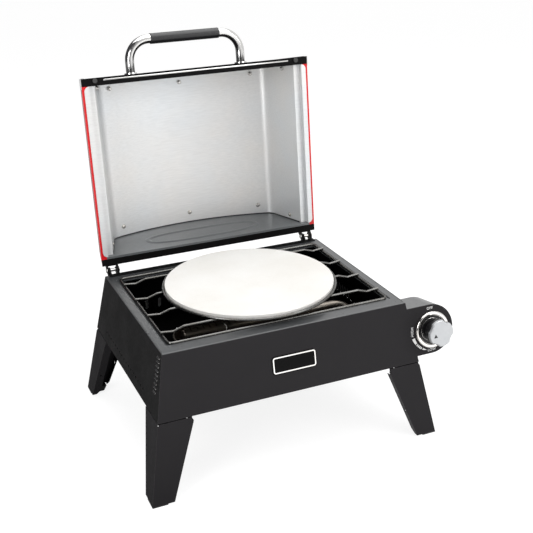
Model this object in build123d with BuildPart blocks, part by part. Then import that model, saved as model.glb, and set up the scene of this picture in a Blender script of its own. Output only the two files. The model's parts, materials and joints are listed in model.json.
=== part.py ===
from build123d import *
import os
from math import cos, radians, sin, tan

os.makedirs("parts", exist_ok=True)

# Tabletop gas pizza oven, lid standing open.
# Millimetres. +Z up, +X to the right of someone standing at the knob side,
# +Y to the back. The origin is on the table, under the middle of the top rim.

# Sheet metal base
rim_width = 480.0          # left to right across the top edge of the base
rim_depth = 379.0          # front to back across the top edge of the base
rim_height = 270.4         # table to top edge
body_drop = 120.7          # top edge to bottom edge of the walls
side_draft = 10.5          # degrees the side walls splay outwards, going down
front_draft = 10.1         # degrees the front and back splay
sheet = 1.5                # painted steel sheet
rim_sheet = 1.5
rim_front_flange = 27.5    # flat band along the front and back of the opening
rim_side_flange = 15.5     # flat band along each side of the opening
rack_ledge = 9.0           # shelf that carries the wire rack
rack_ledge_drop = 1.7      # top of that shelf, below the top edge
rim_opening_round = 2.0
rim_edge_round = 1.0
rim_groove_inset = 2.4     # seam along each side flange, from the outer edge
rim_groove_width = 1.2
rim_groove_depth = 0.8
bite = 1.0                 # how far a cut or a joined piece runs past its face

# Vents
vent_hole_r = 2.4
vent_hole_pitch = 15.8
vent_hole_count = 17
vent_hole_rise = 20.0      # above the bottom edge
vent_hole_shift = 11.0     # middle of the row, towards the back
louvre_length = 13.0
louvre_width = 2.6
louvre_pitch = 8.2
louvre_count = 9
louvre_from_corner = 20.0
louvre_middle = 45.0       # below the top edge, along the wall
back_slot_length = 24.0
back_slot_width = 7.0
back_slot_pitch = 27.5
back_slot_count = 3
back_slot_start = 98.0
back_slot_drop = 88.0
inlet_slot_length = 26.0
inlet_slot_width = 3.0
inlet_slot_pitch = 12.0
inlet_slot_count = 6
inlet_slot_middle = 94.0
inlet_slot_drop = 88.0

# Control housing
lobe_reach = 53.0          # middle of the rounded end, to the right of the rim
lobe_drop = 63.0           # below the top edge, along the sloping front
lobe_r = 48.5
housing_depth = 70.0
lobe_root = 20.0           # the rounded end's straight part laps the front sheet by this much
housing_inset = 0.5        # housing outline inside the front sheet's
housing_wall_gap = 0.2
stem_hole_r = 5.5

# Knob, ring and valve
bezel_r = 36.0
bezel_inner_r = 27.6
bezel_height = 8.0
bezel_round = 3.2
dial_r = 27.3
dial_thick = 2.0
dial_hole_r = 10.0
knob_r = 26.0
knob_base_rise = 6.0       # back of the knob above the front sheet
knob_height = 32.5
knob_disc = 13.0           # thickness of the lobed front disc
knob_neck_r = 16.5
knob_neck_wall = 3.0
knob_boss_wall = 4.0
knob_cap = 8.0             # solid front of the knob
knob_disc_taper = 1.5      # degrees
knob_scallop_r = 24.0
knob_scallop_depth = 3.2
knob_round = 2.0
knob_push = 3.0
stem_r = 4.0
stem_flat = 1.2
stem_fit = 0.05
collar_r = 7.0
collar_thick = 2.5
collar_gap = 0.4
stem_reach = 22.0          # stem end inside the knob, above the front sheet
stem_depth = 8.0           # stem inside the valve
valve_r = 12.5
valve_length = 31.0
valve_post_r = 3.0
valve_post_pitch = 32.0
valve_plate = 3.0
valve_round = 1.5
jet_back = 24.0            # jet axis behind the front sheet
jet_r = 3.5
jet_hex = 11.0
jet_length = 14.0
inlet_r = 7.94             # 5/8 in thread for the gas regulator
inlet_length = 14.0
inlet_hex = 19.0
inlet_hex_length = 7.0
inlet_neck_r = 5.0
inlet_bore_r = 4.0
inlet_seat_gap = 0.2
inlet_hole_gap = 0.3

# Burner
burner_y = -10.0
burner_r = 12.0
burner_half = 146.0
burner_round = 5.0         # closed end of the tube
burner_wall = 1.0
burner_slot = 1.8
burner_slot_pitch = 13.0
burner_slot_count = 21
burner_slot_depth = 3.5
mixer_r = 9.0
mixer_wall = 1.0
mixer_slip = 0.1           # mixing tube inside the burner's mouth
mixer_bend = 24.0
mixer_run_x = 196.0
mixer_start = 24.0         # mouth of the mixing tube, from the valve axis
mixer_hole_gap = 1.2
tray_half = 162.0
tray_width = 92.0
tray_depth = 19.0
tray_below = 3.5           # tray rim below the burner axis
tray_rim = 2.2
tray_sheet = 1.0
tray_corner = 10.0
tray_end_round = 42.0
tray_edge_round = 0.9
tray_notch_gap = 0.6
igniter_x = -62.0
igniter_away = 22.0        # in front of the burner axis
igniter_r = 3.2
igniter_hex = 10.0
igniter_hex_height = 5.0
igniter_wire_r = 0.9
igniter_tip = 12.0
igniter_bend = 3.0
bracket_x = 118.0
bracket_width = 24.0
bracket_foot = 14.0
bracket_sheet = 1.2
saddle_sheet = 2.0
saddle_margin = 3.0
saddle_fit = 0.15

# Floor
floor_rise = 3.3
floor_sheet = 1.0
floor_gap = 0.2            # pan inside the walls
floor_upstand = 9.0
floor_slot_length = 46.0
floor_slot_width = 5.0
floor_slot_pitch = 38.0
floor_slot_count = 9
floor_slot_row = 105.0     # rows in front of and behind the burner

# Wire rack and stone
wire_r = 2.5
rack_side_gap = 4.0        # frame wire to the opening's lip, left and right
rack_gap = 0.5             # frame wire to the opening's lip, front and back
rack_seat_gap = 0.3        # frame wire above its shelf
wire_weld = 0.4            # crossing wires bite into each other
rack_corner = 9.0
cross_pitch = 79.0
cross_count = 4
cross_middle = -1.3
cross_dip = 2.8            # cross wires drop this much beside the frame
cross_lift = 6.5           # and climb this much to carry the ring
cross_end_run = 24.5       # cross wire's end, to where it is lowest
cross_climb_run = 20.0     # from there to where it runs level
stone_r = 165.0
stone_thick = 9.0
stone_round = 1.2
stone_gap = 0.3
ring_gap = 0.8

# Lid
hinge_back = 12.0          # pin behind the top edge
hinge_rise = 6.0           # pin above the top edge
open_angle = 95.28
lid_gap = 4.1              # lid bottom above the top edge when shut
lid_overhang = 1.3         # lid's bottom edge past the rim, at the sides and the back
lid_short = 0.6            # and short of it at the front
lid_draft = 10.5
lid_corner_height = 108.0
lid_height = 150.0
lid_corner_round = 28.0
lid_sheet = 1.0
lid_flange_gap = 2.5       # turned-in bottom flange, from the liner's step
front_lean = 6.5
back_lean = 3.2
front_bar = 15.4
back_bar = 14.0
cap_sheet = 1.5
cap_fit = 0.1
trim_width = 20.0
trim_sheet = 1.0
liner_sheet = 0.8
liner_flange_gap = 4.3     # liner's flange, inside the lid's side
liner_step_gap = 13.5      # liner's step, inside the lid's side
liner_step = 11.0
liner_shelf = 13.3         # from the step in to the wall
liner_wall_run = 27.5      # how far the wall leans in, up to its corner
liner_corner_height = 108.0
liner_height = 141.0
liner_corner_round = 24.0
liner_flange_round = 10.0
inner_back_inset = 18.5    # inner back panel ahead of the lid's back edge
bumper_side_gap = 26.8     # bumper from the lid's side
bumper_edge_gap = 5.4      # and from its front edge
bead_end_gap = 9.5         # bead stops this far from the bumpers
bead_width = 2.2
bead_rise = 0.9
inner_front_inset = 15.5
inner_front_lean = 1.5
inner_panel_sheet = 1.0
panel_margin = 2.0         # end panels lap the liner's end
trim_lip = 6.0
bumper_r = 4.6
bumper_height = 3.8
rib_half = 113.0
rib_low = 42.0
rib_high = 74.0
rib_width = 15.0
rib_rise = 3.0
rib_taper = 30.0

# Handle
handle_half = 121.0
handle_rise = 76.0
handle_reach = 59.0        # middle of the grip ahead of the lid front edge
tube_r = 9.3
tube_bend = 42.0
tube_wall = 1.2
tube_fit = 0.05
grip_r = 10.8
grip_round = 1.2
grip_half = 74.5
handle_foot_r = 13.5
handle_foot = 3.0
handle_foot_taper = 8.0

# Lid hinge
hinge_side_gap = 20.0      # middle of each hinge, inside the rim's side
ear_inner = 7.0
ear_sheet = 3.0
hull_end = 0.45           # circle at the sheet's end of an ear, in sheets
pin_r = 3.4
pin_fit = 0.05
ear_r = 6.0
pin_head_r = 5.0
pin_head = 1.8
head_round = 0.7          # of a pin head's height
pin_end_gap = 0.25
rail_end_gap = 8.0         # rail's end, inside the rim's side
rail_strip = 11.0
rail_drop = 14.0
rail_sheet = 1.5
lid_ear_gap = 0.5
lid_plate_low = 2.0
lid_plate_height = 16.0
lid_plate_sheet = 2.0
heel_r = 3.0
heel_gap = 0.25
heel_drop = 10.0           # stop heel below the pin, lid open

# Legs
leg_top_width = 68.0
leg_top_depth = 72.0
leg_foot_width = 41.0
leg_foot_depth = 43.0
leg_sheet = 1.5
leg_flange = 16.0
leg_gap = 2.2
leg_corner = 6.0           # inner top corner, round about the pivot
leg_outer_cut = 3.5        # outer top corner, cut off
leg_flange_cut = 7.0       # lower free corner of each flange, cut off
leg_hole_r = 3.0
leg_hole_share = 0.64      # hole in each flange, as a share of the way down
leg_pin_r = 1.8
leg_bracket_r = 4.2
leg_bracket_sheet = 2.0
leg_bracket_gap = 0.3
leg_bracket_foot = 14.0
leg_flange_start = 5.0     # inner return flange starts this far below the pivot
leg_head_r = 3.2
leg_head = 0.8
pad_height = 14.0
pad_stand = 2.0
pad_gap = 0.25
pad_short = 12.0           # tread ends this far inside the foot's inner edges

# Derived places
side_tan = tan(radians(side_draft))
front_tan = tan(radians(front_draft))
body_bottom = rim_height - body_drop
wall_top = rim_height - rim_sheet
lobe_x = rim_width / 2 + lobe_reach
hinge_x = rim_width / 2 - hinge_side_gap
hinge_y = rim_depth / 2 + hinge_back
rail_half = rim_width / 2 - rail_end_gap
lid_half = rim_width / 2 + lid_overhang
lid_back = rim_depth / 2 + lid_overhang
lid_front = lid_short - rim_depth / 2
liner_flange_x = lid_half - liner_flange_gap
liner_step_x = lid_half - liner_step_gap
lid_flange_x = liner_step_x + lid_flange_gap
liner_wall_x = liner_step_x - liner_shelf
liner_corner_x = liner_wall_x - liner_wall_run
bumper_x = lid_half - bumper_side_gap
bumper_y = lid_front + bumper_edge_gap
bead_half = bumper_x - bead_end_gap


def outer_x(z):
    return rim_width / 2 + (rim_height - z) * side_tan


def outer_y(z):
    return rim_depth / 2 + (rim_height - z) * front_tan


def slope_plane(origin, x_dir, out_x, out_y, draft):
    rise = sin(radians(draft))
    run = cos(radians(draft))
    return Plane(origin=origin, x_dir=x_dir, z_dir=(out_x * run, out_y * run, rise))


front_face = slope_plane((0, -rim_depth / 2, rim_height), (1, 0, 0), 0, -1, front_draft)
back_face = slope_plane((0, rim_depth / 2, rim_height), (-1, 0, 0), 0, 1, front_draft)
left_face = slope_plane((-rim_width / 2, 0, rim_height), (0, -1, 0), -1, 0, side_draft)
right_face = slope_plane((rim_width / 2, 0, rim_height), (0, 1, 0), 1, 0, side_draft)
side_inset = sheet / cos(radians(side_draft))
front_inset = sheet / cos(radians(front_draft))
front_slope = cos(radians(front_draft))
knob_axis = Plane(
    origin=front_face.from_local_coords(Vector(lobe_x, -lobe_drop, 0)),
    x_dir=(1, 0, 0),
    z_dir=front_face.z_dir,
)
jet_point = knob_axis.from_local_coords(Vector(0, 0, -sheet - jet_back))
burner_z = jet_point.Z
mixer_y = jet_point.Y
knob_line = Axis(knob_axis.origin, knob_axis.z_dir)


def frustum(z_low, z_high, inset_x, inset_y):
    with BuildPart() as block:
        for z in (z_low, z_high):
            with BuildSketch(Plane.XY.offset(z)):
                Rectangle(2 * (outer_x(z) - inset_x), 2 * (outer_y(z) - inset_y))
        loft()
    return block.part


def finish(piece, name):
    piece.part.label = name
    export_step(piece.part, "parts/" + name + ".step")


# Base: side and back walls in one folded sheet
with BuildPart() as body_shell:
    add(frustum(body_bottom, wall_top, 0, 0))
    add(frustum(body_bottom - bite, wall_top + bite, side_inset, front_inset), mode=Mode.SUBTRACT)
    with BuildSketch(front_face.offset(-sheet)):
        Rectangle(3 * rim_width, 3 * rim_height)
    extrude(amount=4 * sheet, mode=Mode.SUBTRACT)
    hole_row = -(body_drop - vent_hole_rise) / cos(radians(side_draft))
    for face, back in ((left_face, -1), (right_face, 1)):
        with BuildSketch(face):
            with Locations((back * vent_hole_shift, hole_row)):
                with GridLocations(vent_hole_pitch, 1, vent_hole_count, 1):
                    Circle(vent_hole_r)
            front_edge = -back * (rim_depth / 2 - louvre_from_corner + louvre_middle * front_tan)
            with Locations((front_edge, -louvre_middle)):
                with GridLocations(1, louvre_pitch, 1, louvre_count):
                    SlotOverall(louvre_length, louvre_width)
        extrude(amount=-3 * sheet, mode=Mode.SUBTRACT)
    with BuildSketch(right_face):
        with Locations((inlet_slot_middle, -inlet_slot_drop)):
            with GridLocations(inlet_slot_pitch, 1, inlet_slot_count, 1):
                SlotOverall(inlet_slot_length, inlet_slot_width, rotation=90)
    extrude(amount=-3 * sheet, mode=Mode.SUBTRACT)
    with Locations(Plane(origin=(outer_x(burner_z), mixer_y, burner_z), z_dir=(1, 0, 0))):
        Cylinder(mixer_r + mixer_hole_gap, 8 * sheet, mode=Mode.SUBTRACT)
    with BuildSketch(back_face):
        for end in (-1, 1):
            middle = end * (back_slot_start + back_slot_pitch * (back_slot_count - 1) / 2)
            with Locations((middle, -back_slot_drop)):
                with GridLocations(back_slot_pitch, 1, back_slot_count, 1):
                    SlotOverall(back_slot_length, back_slot_width, rotation=90)
    extrude(amount=-3 * sheet, mode=Mode.SUBTRACT)
finish(body_shell, "body_shell")

# Base: front sheet with the rounded control end
slope_top = rim_sheet / front_slope
slope_bottom = body_drop / front_slope


def front_half(slope):
    return rim_width / 2 + slope * front_slope * side_tan


def lobe_outline(inset):
    with BuildSketch() as outline:
        with Locations((lobe_x, -lobe_drop)):
            Circle(lobe_r - inset)
        with Locations((lobe_x, -lobe_drop)):
            Rectangle(lobe_reach + lobe_root, 2 * (lobe_r - inset), align=(Align.MAX, Align.CENTER))
    return outline.sketch


with BuildPart() as fascia:
    with BuildSketch(front_face):
        Polygon(
            (-front_half(slope_top), -slope_top),
            (front_half(slope_top), -slope_top),
            (front_half(slope_bottom), -slope_bottom),
            (-front_half(slope_bottom), -slope_bottom),
            align=None,
        )
        add(lobe_outline(0))
        with Locations((lobe_x, -lobe_drop)):
            Circle(stem_hole_r, mode=Mode.SUBTRACT)
    extrude(amount=-sheet)
finish(fascia, "fascia")

# Base: rim with its lip and the shelf for the rack
open_half_x = rim_width / 2 - rim_side_flange
open_half_y = rim_depth / 2 - rim_front_flange
ledge_low = rim_height - rack_ledge_drop - rim_sheet
with BuildPart() as rim_frame:
    with BuildSketch(Plane.XY.offset(rim_height - rim_sheet)):
        Rectangle(rim_width, rim_depth)
        Rectangle(2 * open_half_x, 2 * open_half_y, mode=Mode.SUBTRACT)
    extrude(amount=rim_sheet)
    with BuildSketch(Plane.XY.offset(ledge_low)):
        Rectangle(2 * (open_half_x + rim_sheet), 2 * (open_half_y + rim_sheet))
        Rectangle(2 * open_half_x, 2 * open_half_y, mode=Mode.SUBTRACT)
    extrude(amount=rim_height - ledge_low)
    with BuildSketch(Plane.XY.offset(ledge_low)):
        Rectangle(2 * (open_half_x + rim_sheet), 2 * (open_half_y + rim_sheet))
        Rectangle(2 * (open_half_x - rack_ledge), 2 * (open_half_y - rack_ledge), mode=Mode.SUBTRACT)
    extrude(amount=rim_sheet)
    inner = rim_frame.edges().filter_by(Axis.Z).filter_by(
        lambda edge: abs(abs(edge.center().X) - open_half_x) < 0.01
    )
    fillet(inner, radius=rim_opening_round)
    outer = rim_frame.edges().group_by(Axis.Z)[-1].filter_by(
        lambda edge: max(abs(edge.center().X) - rim_width / 2, abs(edge.center().Y) - rim_depth / 2) > -0.01
    )
    fillet(outer, radius=rim_edge_round)
    with BuildSketch(Plane.XY.offset(rim_height - rim_groove_depth)):
        with GridLocations(rim_width - 2 * rim_groove_inset, 1, 2, 1):
            SlotOverall(rim_depth - 4 * rim_groove_inset, rim_groove_width, rotation=90)
    extrude(amount=rim_groove_depth + bite, mode=Mode.SUBTRACT)
finish(rim_frame, "rim_frame")

# Base: floor pan with vent slots
floor_z = body_bottom + floor_rise
with BuildPart() as floor_pan:
    add(frustum(floor_z, floor_z + floor_upstand, side_inset + floor_gap, front_inset + floor_gap))
    pan_wall = floor_sheet + floor_gap
    pan_top = floor_z + floor_upstand
    add(
        frustum(floor_z + floor_sheet, pan_top + bite, side_inset + pan_wall, front_inset + pan_wall),
        mode=Mode.SUBTRACT,
    )
    with BuildSketch(Plane.XY.offset(floor_z)):
        for row in (-1, 1):
            with Locations((0, row * floor_slot_row)):
                with GridLocations(floor_slot_pitch, 1, floor_slot_count, 1):
                    SlotOverall(floor_slot_length, floor_slot_width, rotation=90)
    extrude(amount=2 * floor_sheet, mode=Mode.SUBTRACT)
finish(floor_pan, "floor_pan")

# Control housing behind the rounded end
body_side = Plane(
    origin=(rim_width / 2, 0, rim_height),
    x_dir=(0, 1, 0),
    z_dir=right_face.z_dir,
)
with BuildPart() as control_housing:
    with BuildSketch(front_face.offset(-sheet)):
        add(lobe_outline(housing_inset))
    extrude(amount=-housing_depth)
    with BuildSketch(front_face.offset(-sheet)):
        add(lobe_outline(housing_inset + sheet))
    extrude(amount=-(housing_depth - sheet), mode=Mode.SUBTRACT)
    with BuildSketch(body_side.offset(housing_wall_gap)):
        Rectangle(3 * rim_depth, 3 * rim_height)
    extrude(amount=-rim_width / 2, mode=Mode.SUBTRACT)
    with Locations(front_face.offset(-sheet - housing_depth)):
        with Locations((lobe_x, -lobe_drop)):
            Cylinder(inlet_r + inlet_hole_gap, 6 * sheet, mode=Mode.SUBTRACT)
finish(control_housing, "control_housing")

# Valve, stem, knob
collar_front = -sheet - collar_gap
valve_front = collar_front - collar_thick - knob_push - collar_gap
with BuildPart() as valve_body:
    with BuildSketch(knob_axis.offset(valve_front)):
        Circle(valve_r)
    extrude(amount=-valve_length)
    with BuildSketch(knob_axis.offset(valve_front)):
        SlotCenterToCenter(valve_post_pitch, 4 * valve_post_r)
    extrude(amount=-valve_plate)
    with BuildSketch(knob_axis.offset(-sheet)):
        with GridLocations(valve_post_pitch, 1, 2, 1):
            Circle(valve_post_r)
    extrude(amount=valve_front + sheet - bite)
    with BuildSketch(Plane(origin=jet_point, x_dir=(0, 1, 0), z_dir=(-1, 0, 0))):
        RegularPolygon(jet_hex / 2, 6, major_radius=False)
    extrude(amount=valve_r + jet_length / 2)
    with BuildSketch(Plane(origin=jet_point, x_dir=(0, 1, 0), z_dir=(-1, 0, 0))):
        Circle(jet_r)
    extrude(amount=valve_r + jet_length)
    with BuildSketch(knob_axis.offset(valve_front)):
        Circle(stem_r + stem_fit)
    extrude(amount=-(stem_depth + knob_push + collar_gap), mode=Mode.SUBTRACT)
    fillet(valve_body.faces().sort_by(knob_line)[0].edges(), radius=valve_round)
finish(valve_body, "valve_body")

inlet_seat = -sheet - housing_depth - inlet_seat_gap
inlet_end = inlet_seat - inlet_hex_length - inlet_length
with BuildPart() as gas_inlet:
    with BuildSketch(knob_axis.offset(valve_front - valve_length)):
        Circle(inlet_neck_r)
    extrude(amount=inlet_seat - valve_front + valve_length)
    with BuildSketch(knob_axis.offset(inlet_seat)):
        RegularPolygon(inlet_hex / 2, 6, major_radius=False)
    extrude(amount=-inlet_hex_length)
    with BuildSketch(knob_axis.offset(inlet_seat - inlet_hex_length)):
        Circle(inlet_r)
    extrude(amount=-inlet_length)
    with BuildSketch(knob_axis.offset(inlet_end)):
        Circle(inlet_bore_r)
    extrude(amount=inlet_length + inlet_hex_length / 2, mode=Mode.SUBTRACT)
finish(gas_inlet, "gas_inlet")

with BuildPart() as push_collar:
    with BuildSketch(knob_axis.offset(collar_front)):
        Circle(collar_r)
        Circle(stem_r + stem_fit, mode=Mode.SUBTRACT)
    extrude(amount=-collar_thick)
finish(push_collar, "push_collar")


def stem_section(gap):
    with BuildSketch() as section:
        Circle(stem_r + gap)
        with Locations((0, stem_r + gap - stem_flat / 2)):
            Rectangle(2 * stem_r + bite, stem_flat, mode=Mode.SUBTRACT)
    return section.sketch


with BuildPart() as valve_stem:
    with BuildSketch(knob_axis.offset(valve_front - stem_depth)):
        Circle(stem_r)
    extrude(amount=knob_base_rise - valve_front + stem_depth - bite)
    with BuildSketch(knob_axis.offset(knob_base_rise - bite)):
        add(stem_section(0))
    extrude(amount=stem_reach - knob_base_rise)
finish(valve_stem, "valve_stem")

knob_disc_back = knob_base_rise + knob_height - knob_disc
with BuildPart() as knob:
    with BuildSketch(knob_axis.offset(knob_base_rise)):
        Circle(knob_neck_r)
    extrude(amount=knob_height - knob_disc)
    with BuildSketch(knob_axis.offset(knob_disc_back)):
        Circle(knob_r)
        with PolarLocations(knob_r + knob_scallop_r - knob_scallop_depth, 4, start_angle=45):
            Circle(knob_scallop_r, mode=Mode.SUBTRACT)
    extrude(amount=knob_disc, taper=knob_disc_taper)
    fillet(knob.faces().sort_by(knob_line)[-1].edges(), radius=knob_round)
    with BuildSketch(knob_axis.offset(knob_base_rise)):
        Circle(knob_neck_r - knob_neck_wall)
        Circle(stem_r + knob_boss_wall, mode=Mode.SUBTRACT)
    extrude(amount=knob_height - knob_cap, mode=Mode.SUBTRACT)
    with BuildSketch(knob_axis.offset(knob_base_rise)):
        add(stem_section(stem_fit))
    extrude(amount=stem_reach - knob_base_rise, mode=Mode.SUBTRACT)
finish(knob, "knob")

with BuildPart() as bezel:
    with BuildSketch(knob_axis):
        Circle(bezel_r)
        Circle(bezel_inner_r, mode=Mode.SUBTRACT)
    extrude(amount=bezel_height)
    fillet(bezel.faces().sort_by(knob_line)[-1].edges(), radius=bezel_round)
finish(bezel, "bezel")

with BuildPart() as dial:
    with BuildSketch(knob_axis):
        Circle(dial_r)
        Circle(dial_hole_r, mode=Mode.SUBTRACT)
    extrude(amount=dial_thick)
finish(dial, "dial")

# Burner, mixing tube, tray and feet
with BuildPart() as burner:
    with BuildSketch(Plane(origin=(0, burner_y, burner_z), x_dir=(1, 0, 0), z_dir=(0, -1, 0))):
        with BuildLine():
            outside = FilletPolyline(
                (-burner_half, 0),
                (-burner_half, burner_r),
                (burner_half - 2 * burner_r, burner_r),
                (burner_half - burner_r / 2, mixer_r + mixer_wall),
                (burner_half, mixer_r + mixer_wall),
                radius=burner_round,
            )
            inside = FilletPolyline(
                (burner_half, mixer_r + mixer_slip),
                (burner_half - burner_r, mixer_r + mixer_slip),
                (burner_half - 2 * burner_r, burner_r - burner_wall),
                (burner_wall - burner_half, burner_r - burner_wall),
                (burner_wall - burner_half, 0),
                radius=burner_round - burner_wall,
            )
            Line(outside @ 1, inside @ 0)
            Line(inside @ 1, outside @ 0)
        make_face()
    revolve(axis=Axis((0, burner_y, burner_z), (1, 0, 0)))
    with BuildSketch(Plane.XY.offset(burner_z + burner_r - burner_slot_depth)):
        with Locations((-burner_r, burner_y)):
            with GridLocations(burner_slot_pitch, 1, burner_slot_count, 1):
                Rectangle(burner_slot, 3 * burner_r)
    extrude(amount=burner_r, mode=Mode.SUBTRACT)
finish(burner, "burner")

with BuildPart() as mixing_tube:
    with BuildLine():
        mixer_path = FilletPolyline(
            (lobe_x - mixer_start, mixer_y, burner_z),
            (mixer_run_x, mixer_y, burner_z),
            (mixer_run_x, burner_y, burner_z),
            (burner_half - burner_r + bite, burner_y, burner_z),
            radius=mixer_bend,
        )
    with BuildSketch(Plane(origin=mixer_path @ 0, x_dir=(0, 1, 0), z_dir=mixer_path % 0)):
        Circle(mixer_r)
        Circle(mixer_r - mixer_wall, mode=Mode.SUBTRACT)
    sweep()
finish(mixing_tube, "mixing_tube")

tray_top = burner_z - tray_below


def tray_outline(inset):
    with BuildSketch() as outline:
        with Locations((0, burner_y)):
            RectangleRounded(2 * (tray_half - inset), tray_width - 2 * inset, tray_end_round - inset)
        with Locations((tray_half / 2, burner_y)):
            RectangleRounded(tray_half - 2 * inset, tray_width - 2 * inset, tray_corner - inset)
    return outline.sketch


with BuildPart() as burner_tray:
    with BuildSketch(Plane.XY.offset(tray_top - tray_depth)):
        add(tray_outline(tray_rim))
    extrude(amount=tray_depth)
    with BuildSketch(Plane.XY.offset(tray_top - 2 * tray_rim)):
        add(tray_outline(0))
    extrude(amount=2 * tray_rim)
    with BuildSketch(Plane.XY.offset(tray_top - tray_depth + tray_sheet)):
        add(tray_outline(tray_rim + tray_sheet))
    extrude(amount=tray_depth, mode=Mode.SUBTRACT)
    fillet(burner_tray.edges().group_by(Axis.Z)[-1], radius=tray_edge_round)
    mixer_block = Plane(origin=(tray_half, burner_y, burner_z), z_dir=(1, 0, 0))
    with Locations(mixer_block):
        Cylinder(mixer_r + tray_notch_gap, 2 * tray_depth, mode=Mode.SUBTRACT)
finish(burner_tray, "burner_tray")

# burner saddles inside the tray, and feet between the tray and the floor
saddle_low = tray_top - tray_depth + tray_sheet
with BuildPart() as burner_saddles:
    for x in (-bracket_x, bracket_x):
        saddle_face = Plane(origin=(x - saddle_sheet / 2, burner_y, 0), x_dir=(0, 1, 0), z_dir=(1, 0, 0))
        with BuildSketch(saddle_face):
            with Locations((0, (saddle_low + burner_z) / 2)):
                Rectangle(2 * (burner_r + saddle_margin), burner_z - saddle_low)
            with Locations((0, burner_z)):
                Circle(burner_r + saddle_fit, mode=Mode.SUBTRACT)
        extrude(amount=saddle_sheet)
finish(burner_saddles, "burner_saddles")

foot_low = floor_z + floor_sheet
foot_high = tray_top - tray_depth
foot_half = bracket_sheet / 2
foot_edge = tray_width / 2
foot_inner = foot_edge - bracket_foot
with BuildPart() as tray_feet:
    for x in (-bracket_x, bracket_x):
        foot_face = Plane(origin=(x - bracket_width / 2, burner_y, 0), x_dir=(0, 1, 0), z_dir=(1, 0, 0))
        with BuildSketch(foot_face):
            with BuildLine():
                foot_path = Polyline(
                    (-foot_edge, foot_low + foot_half),
                    (-foot_inner, foot_low + foot_half),
                    (-foot_inner, foot_high - foot_half),
                    (foot_inner, foot_high - foot_half),
                    (foot_inner, foot_low + foot_half),
                    (foot_edge, foot_low + foot_half),
                )
                offset(foot_path, amount=foot_half, side=Side.BOTH, kind=Kind.INTERSECTION)
            make_face()
        extrude(amount=bracket_width)
finish(tray_feet, "tray_feet")

# Igniter beside the burner
with BuildPart() as igniter:
    with BuildSketch(Plane.XY.offset(saddle_low)):
        with Locations((igniter_x, burner_y - igniter_away)):
            RegularPolygon(igniter_hex / 2, 6, major_radius=False)
    extrude(amount=igniter_hex_height)
    with BuildSketch(Plane.XY.offset(saddle_low)):
        with Locations((igniter_x, burner_y - igniter_away)):
            Circle(igniter_r)
    extrude(amount=burner_z - saddle_low)
    with BuildLine():
        tip_path = FilletPolyline(
            (igniter_x, burner_y - igniter_away, burner_z - bite),
            (igniter_x, burner_y - igniter_away, burner_z + burner_r),
            (igniter_x, burner_y - igniter_away + igniter_tip, burner_z + burner_r),
            radius=igniter_bend,
        )
    with BuildSketch(Plane(origin=tip_path @ 0, z_dir=tip_path % 0)):
        Circle(igniter_wire_r)
    sweep(path=tip_path)
finish(igniter, "igniter")

# Wire rack: frame wire on the shelf, cross wires over it, ring that holds the stone
frame_wire_z = rim_height - rack_ledge_drop + rack_seat_gap + wire_r
wire_step = 2 * wire_r - wire_weld
cross_end_z = frame_wire_z + wire_step
cross_top_z = cross_end_z - cross_dip + cross_lift
ring_z = cross_top_z + wire_step
ring_r = stone_r + ring_gap + wire_r
rack_half_width = open_half_x - rack_side_gap - wire_r
rack_half_depth = open_half_y - rack_gap - wire_r
cross_half = rack_half_width + wire_r
cross_flat_x = cross_half - cross_end_run
cross_top_x = cross_flat_x - cross_climb_run
with BuildPart() as rack:
    with BuildLine(Plane.XY.offset(frame_wire_z)) as frame_line:
        FilletPolyline(
            (rack_half_width, -rack_half_depth),
            (rack_half_width, rack_half_depth),
            (-rack_half_width, rack_half_depth),
            (-rack_half_width, -rack_half_depth),
            radius=rack_corner,
            close=True,
        )
    frame_path = frame_line.wire()
    with BuildSketch(Plane(origin=frame_path @ 0, z_dir=frame_path % 0)):
        Circle(wire_r)
    sweep(path=frame_path)
    for row in range(cross_count):
        wire_y = cross_middle + (row - (cross_count - 1) / 2) * cross_pitch
        with BuildLine(Plane(origin=(0, wire_y, 0), x_dir=(1, 0, 0), z_dir=(0, -1, 0))) as cross_line:
            FilletPolyline(
                (-cross_half, cross_end_z),
                (-cross_flat_x, cross_end_z - cross_dip),
                (-cross_top_x, cross_top_z),
                (cross_top_x, cross_top_z),
                (cross_flat_x, cross_end_z - cross_dip),
                (cross_half, cross_end_z),
                radius=3 * wire_r,
            )
        cross_path = cross_line.wire()
        with BuildSketch(Plane(origin=cross_path @ 0, x_dir=(0, 1, 0), z_dir=cross_path % 0)):
            Circle(wire_r)
        sweep(path=cross_path)
    ring_section = Plane(origin=(ring_r, cross_middle, ring_z), x_dir=(1, 0, 0), z_dir=(0, -1, 0))
    with BuildSketch(ring_section):
        Circle(wire_r)
    revolve(axis=Axis((0, cross_middle, 0), (0, 0, 1)))
finish(rack, "rack")

stone_low = cross_top_z + wire_r + stone_gap
with BuildPart() as pizza_stone:
    with BuildSketch(Plane.XY.offset(stone_low)):
        with Locations((0, cross_middle)):
            Circle(stone_r)
    extrude(amount=stone_thick)
    fillet(pizza_stone.edges(), radius=stone_round)
finish(pizza_stone, "pizza_stone")

# Hinge rail along the back of the rim, with two pairs of ears
hinge_z = rim_height + hinge_rise
rail_top = rim_height + cap_fit + rail_sheet
rail_out = (cap_fit + rail_sheet) / front_slope
rail_foot_z = rim_height - rail_drop


def rail_y(z):
    return outer_y(z) + rail_out


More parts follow.
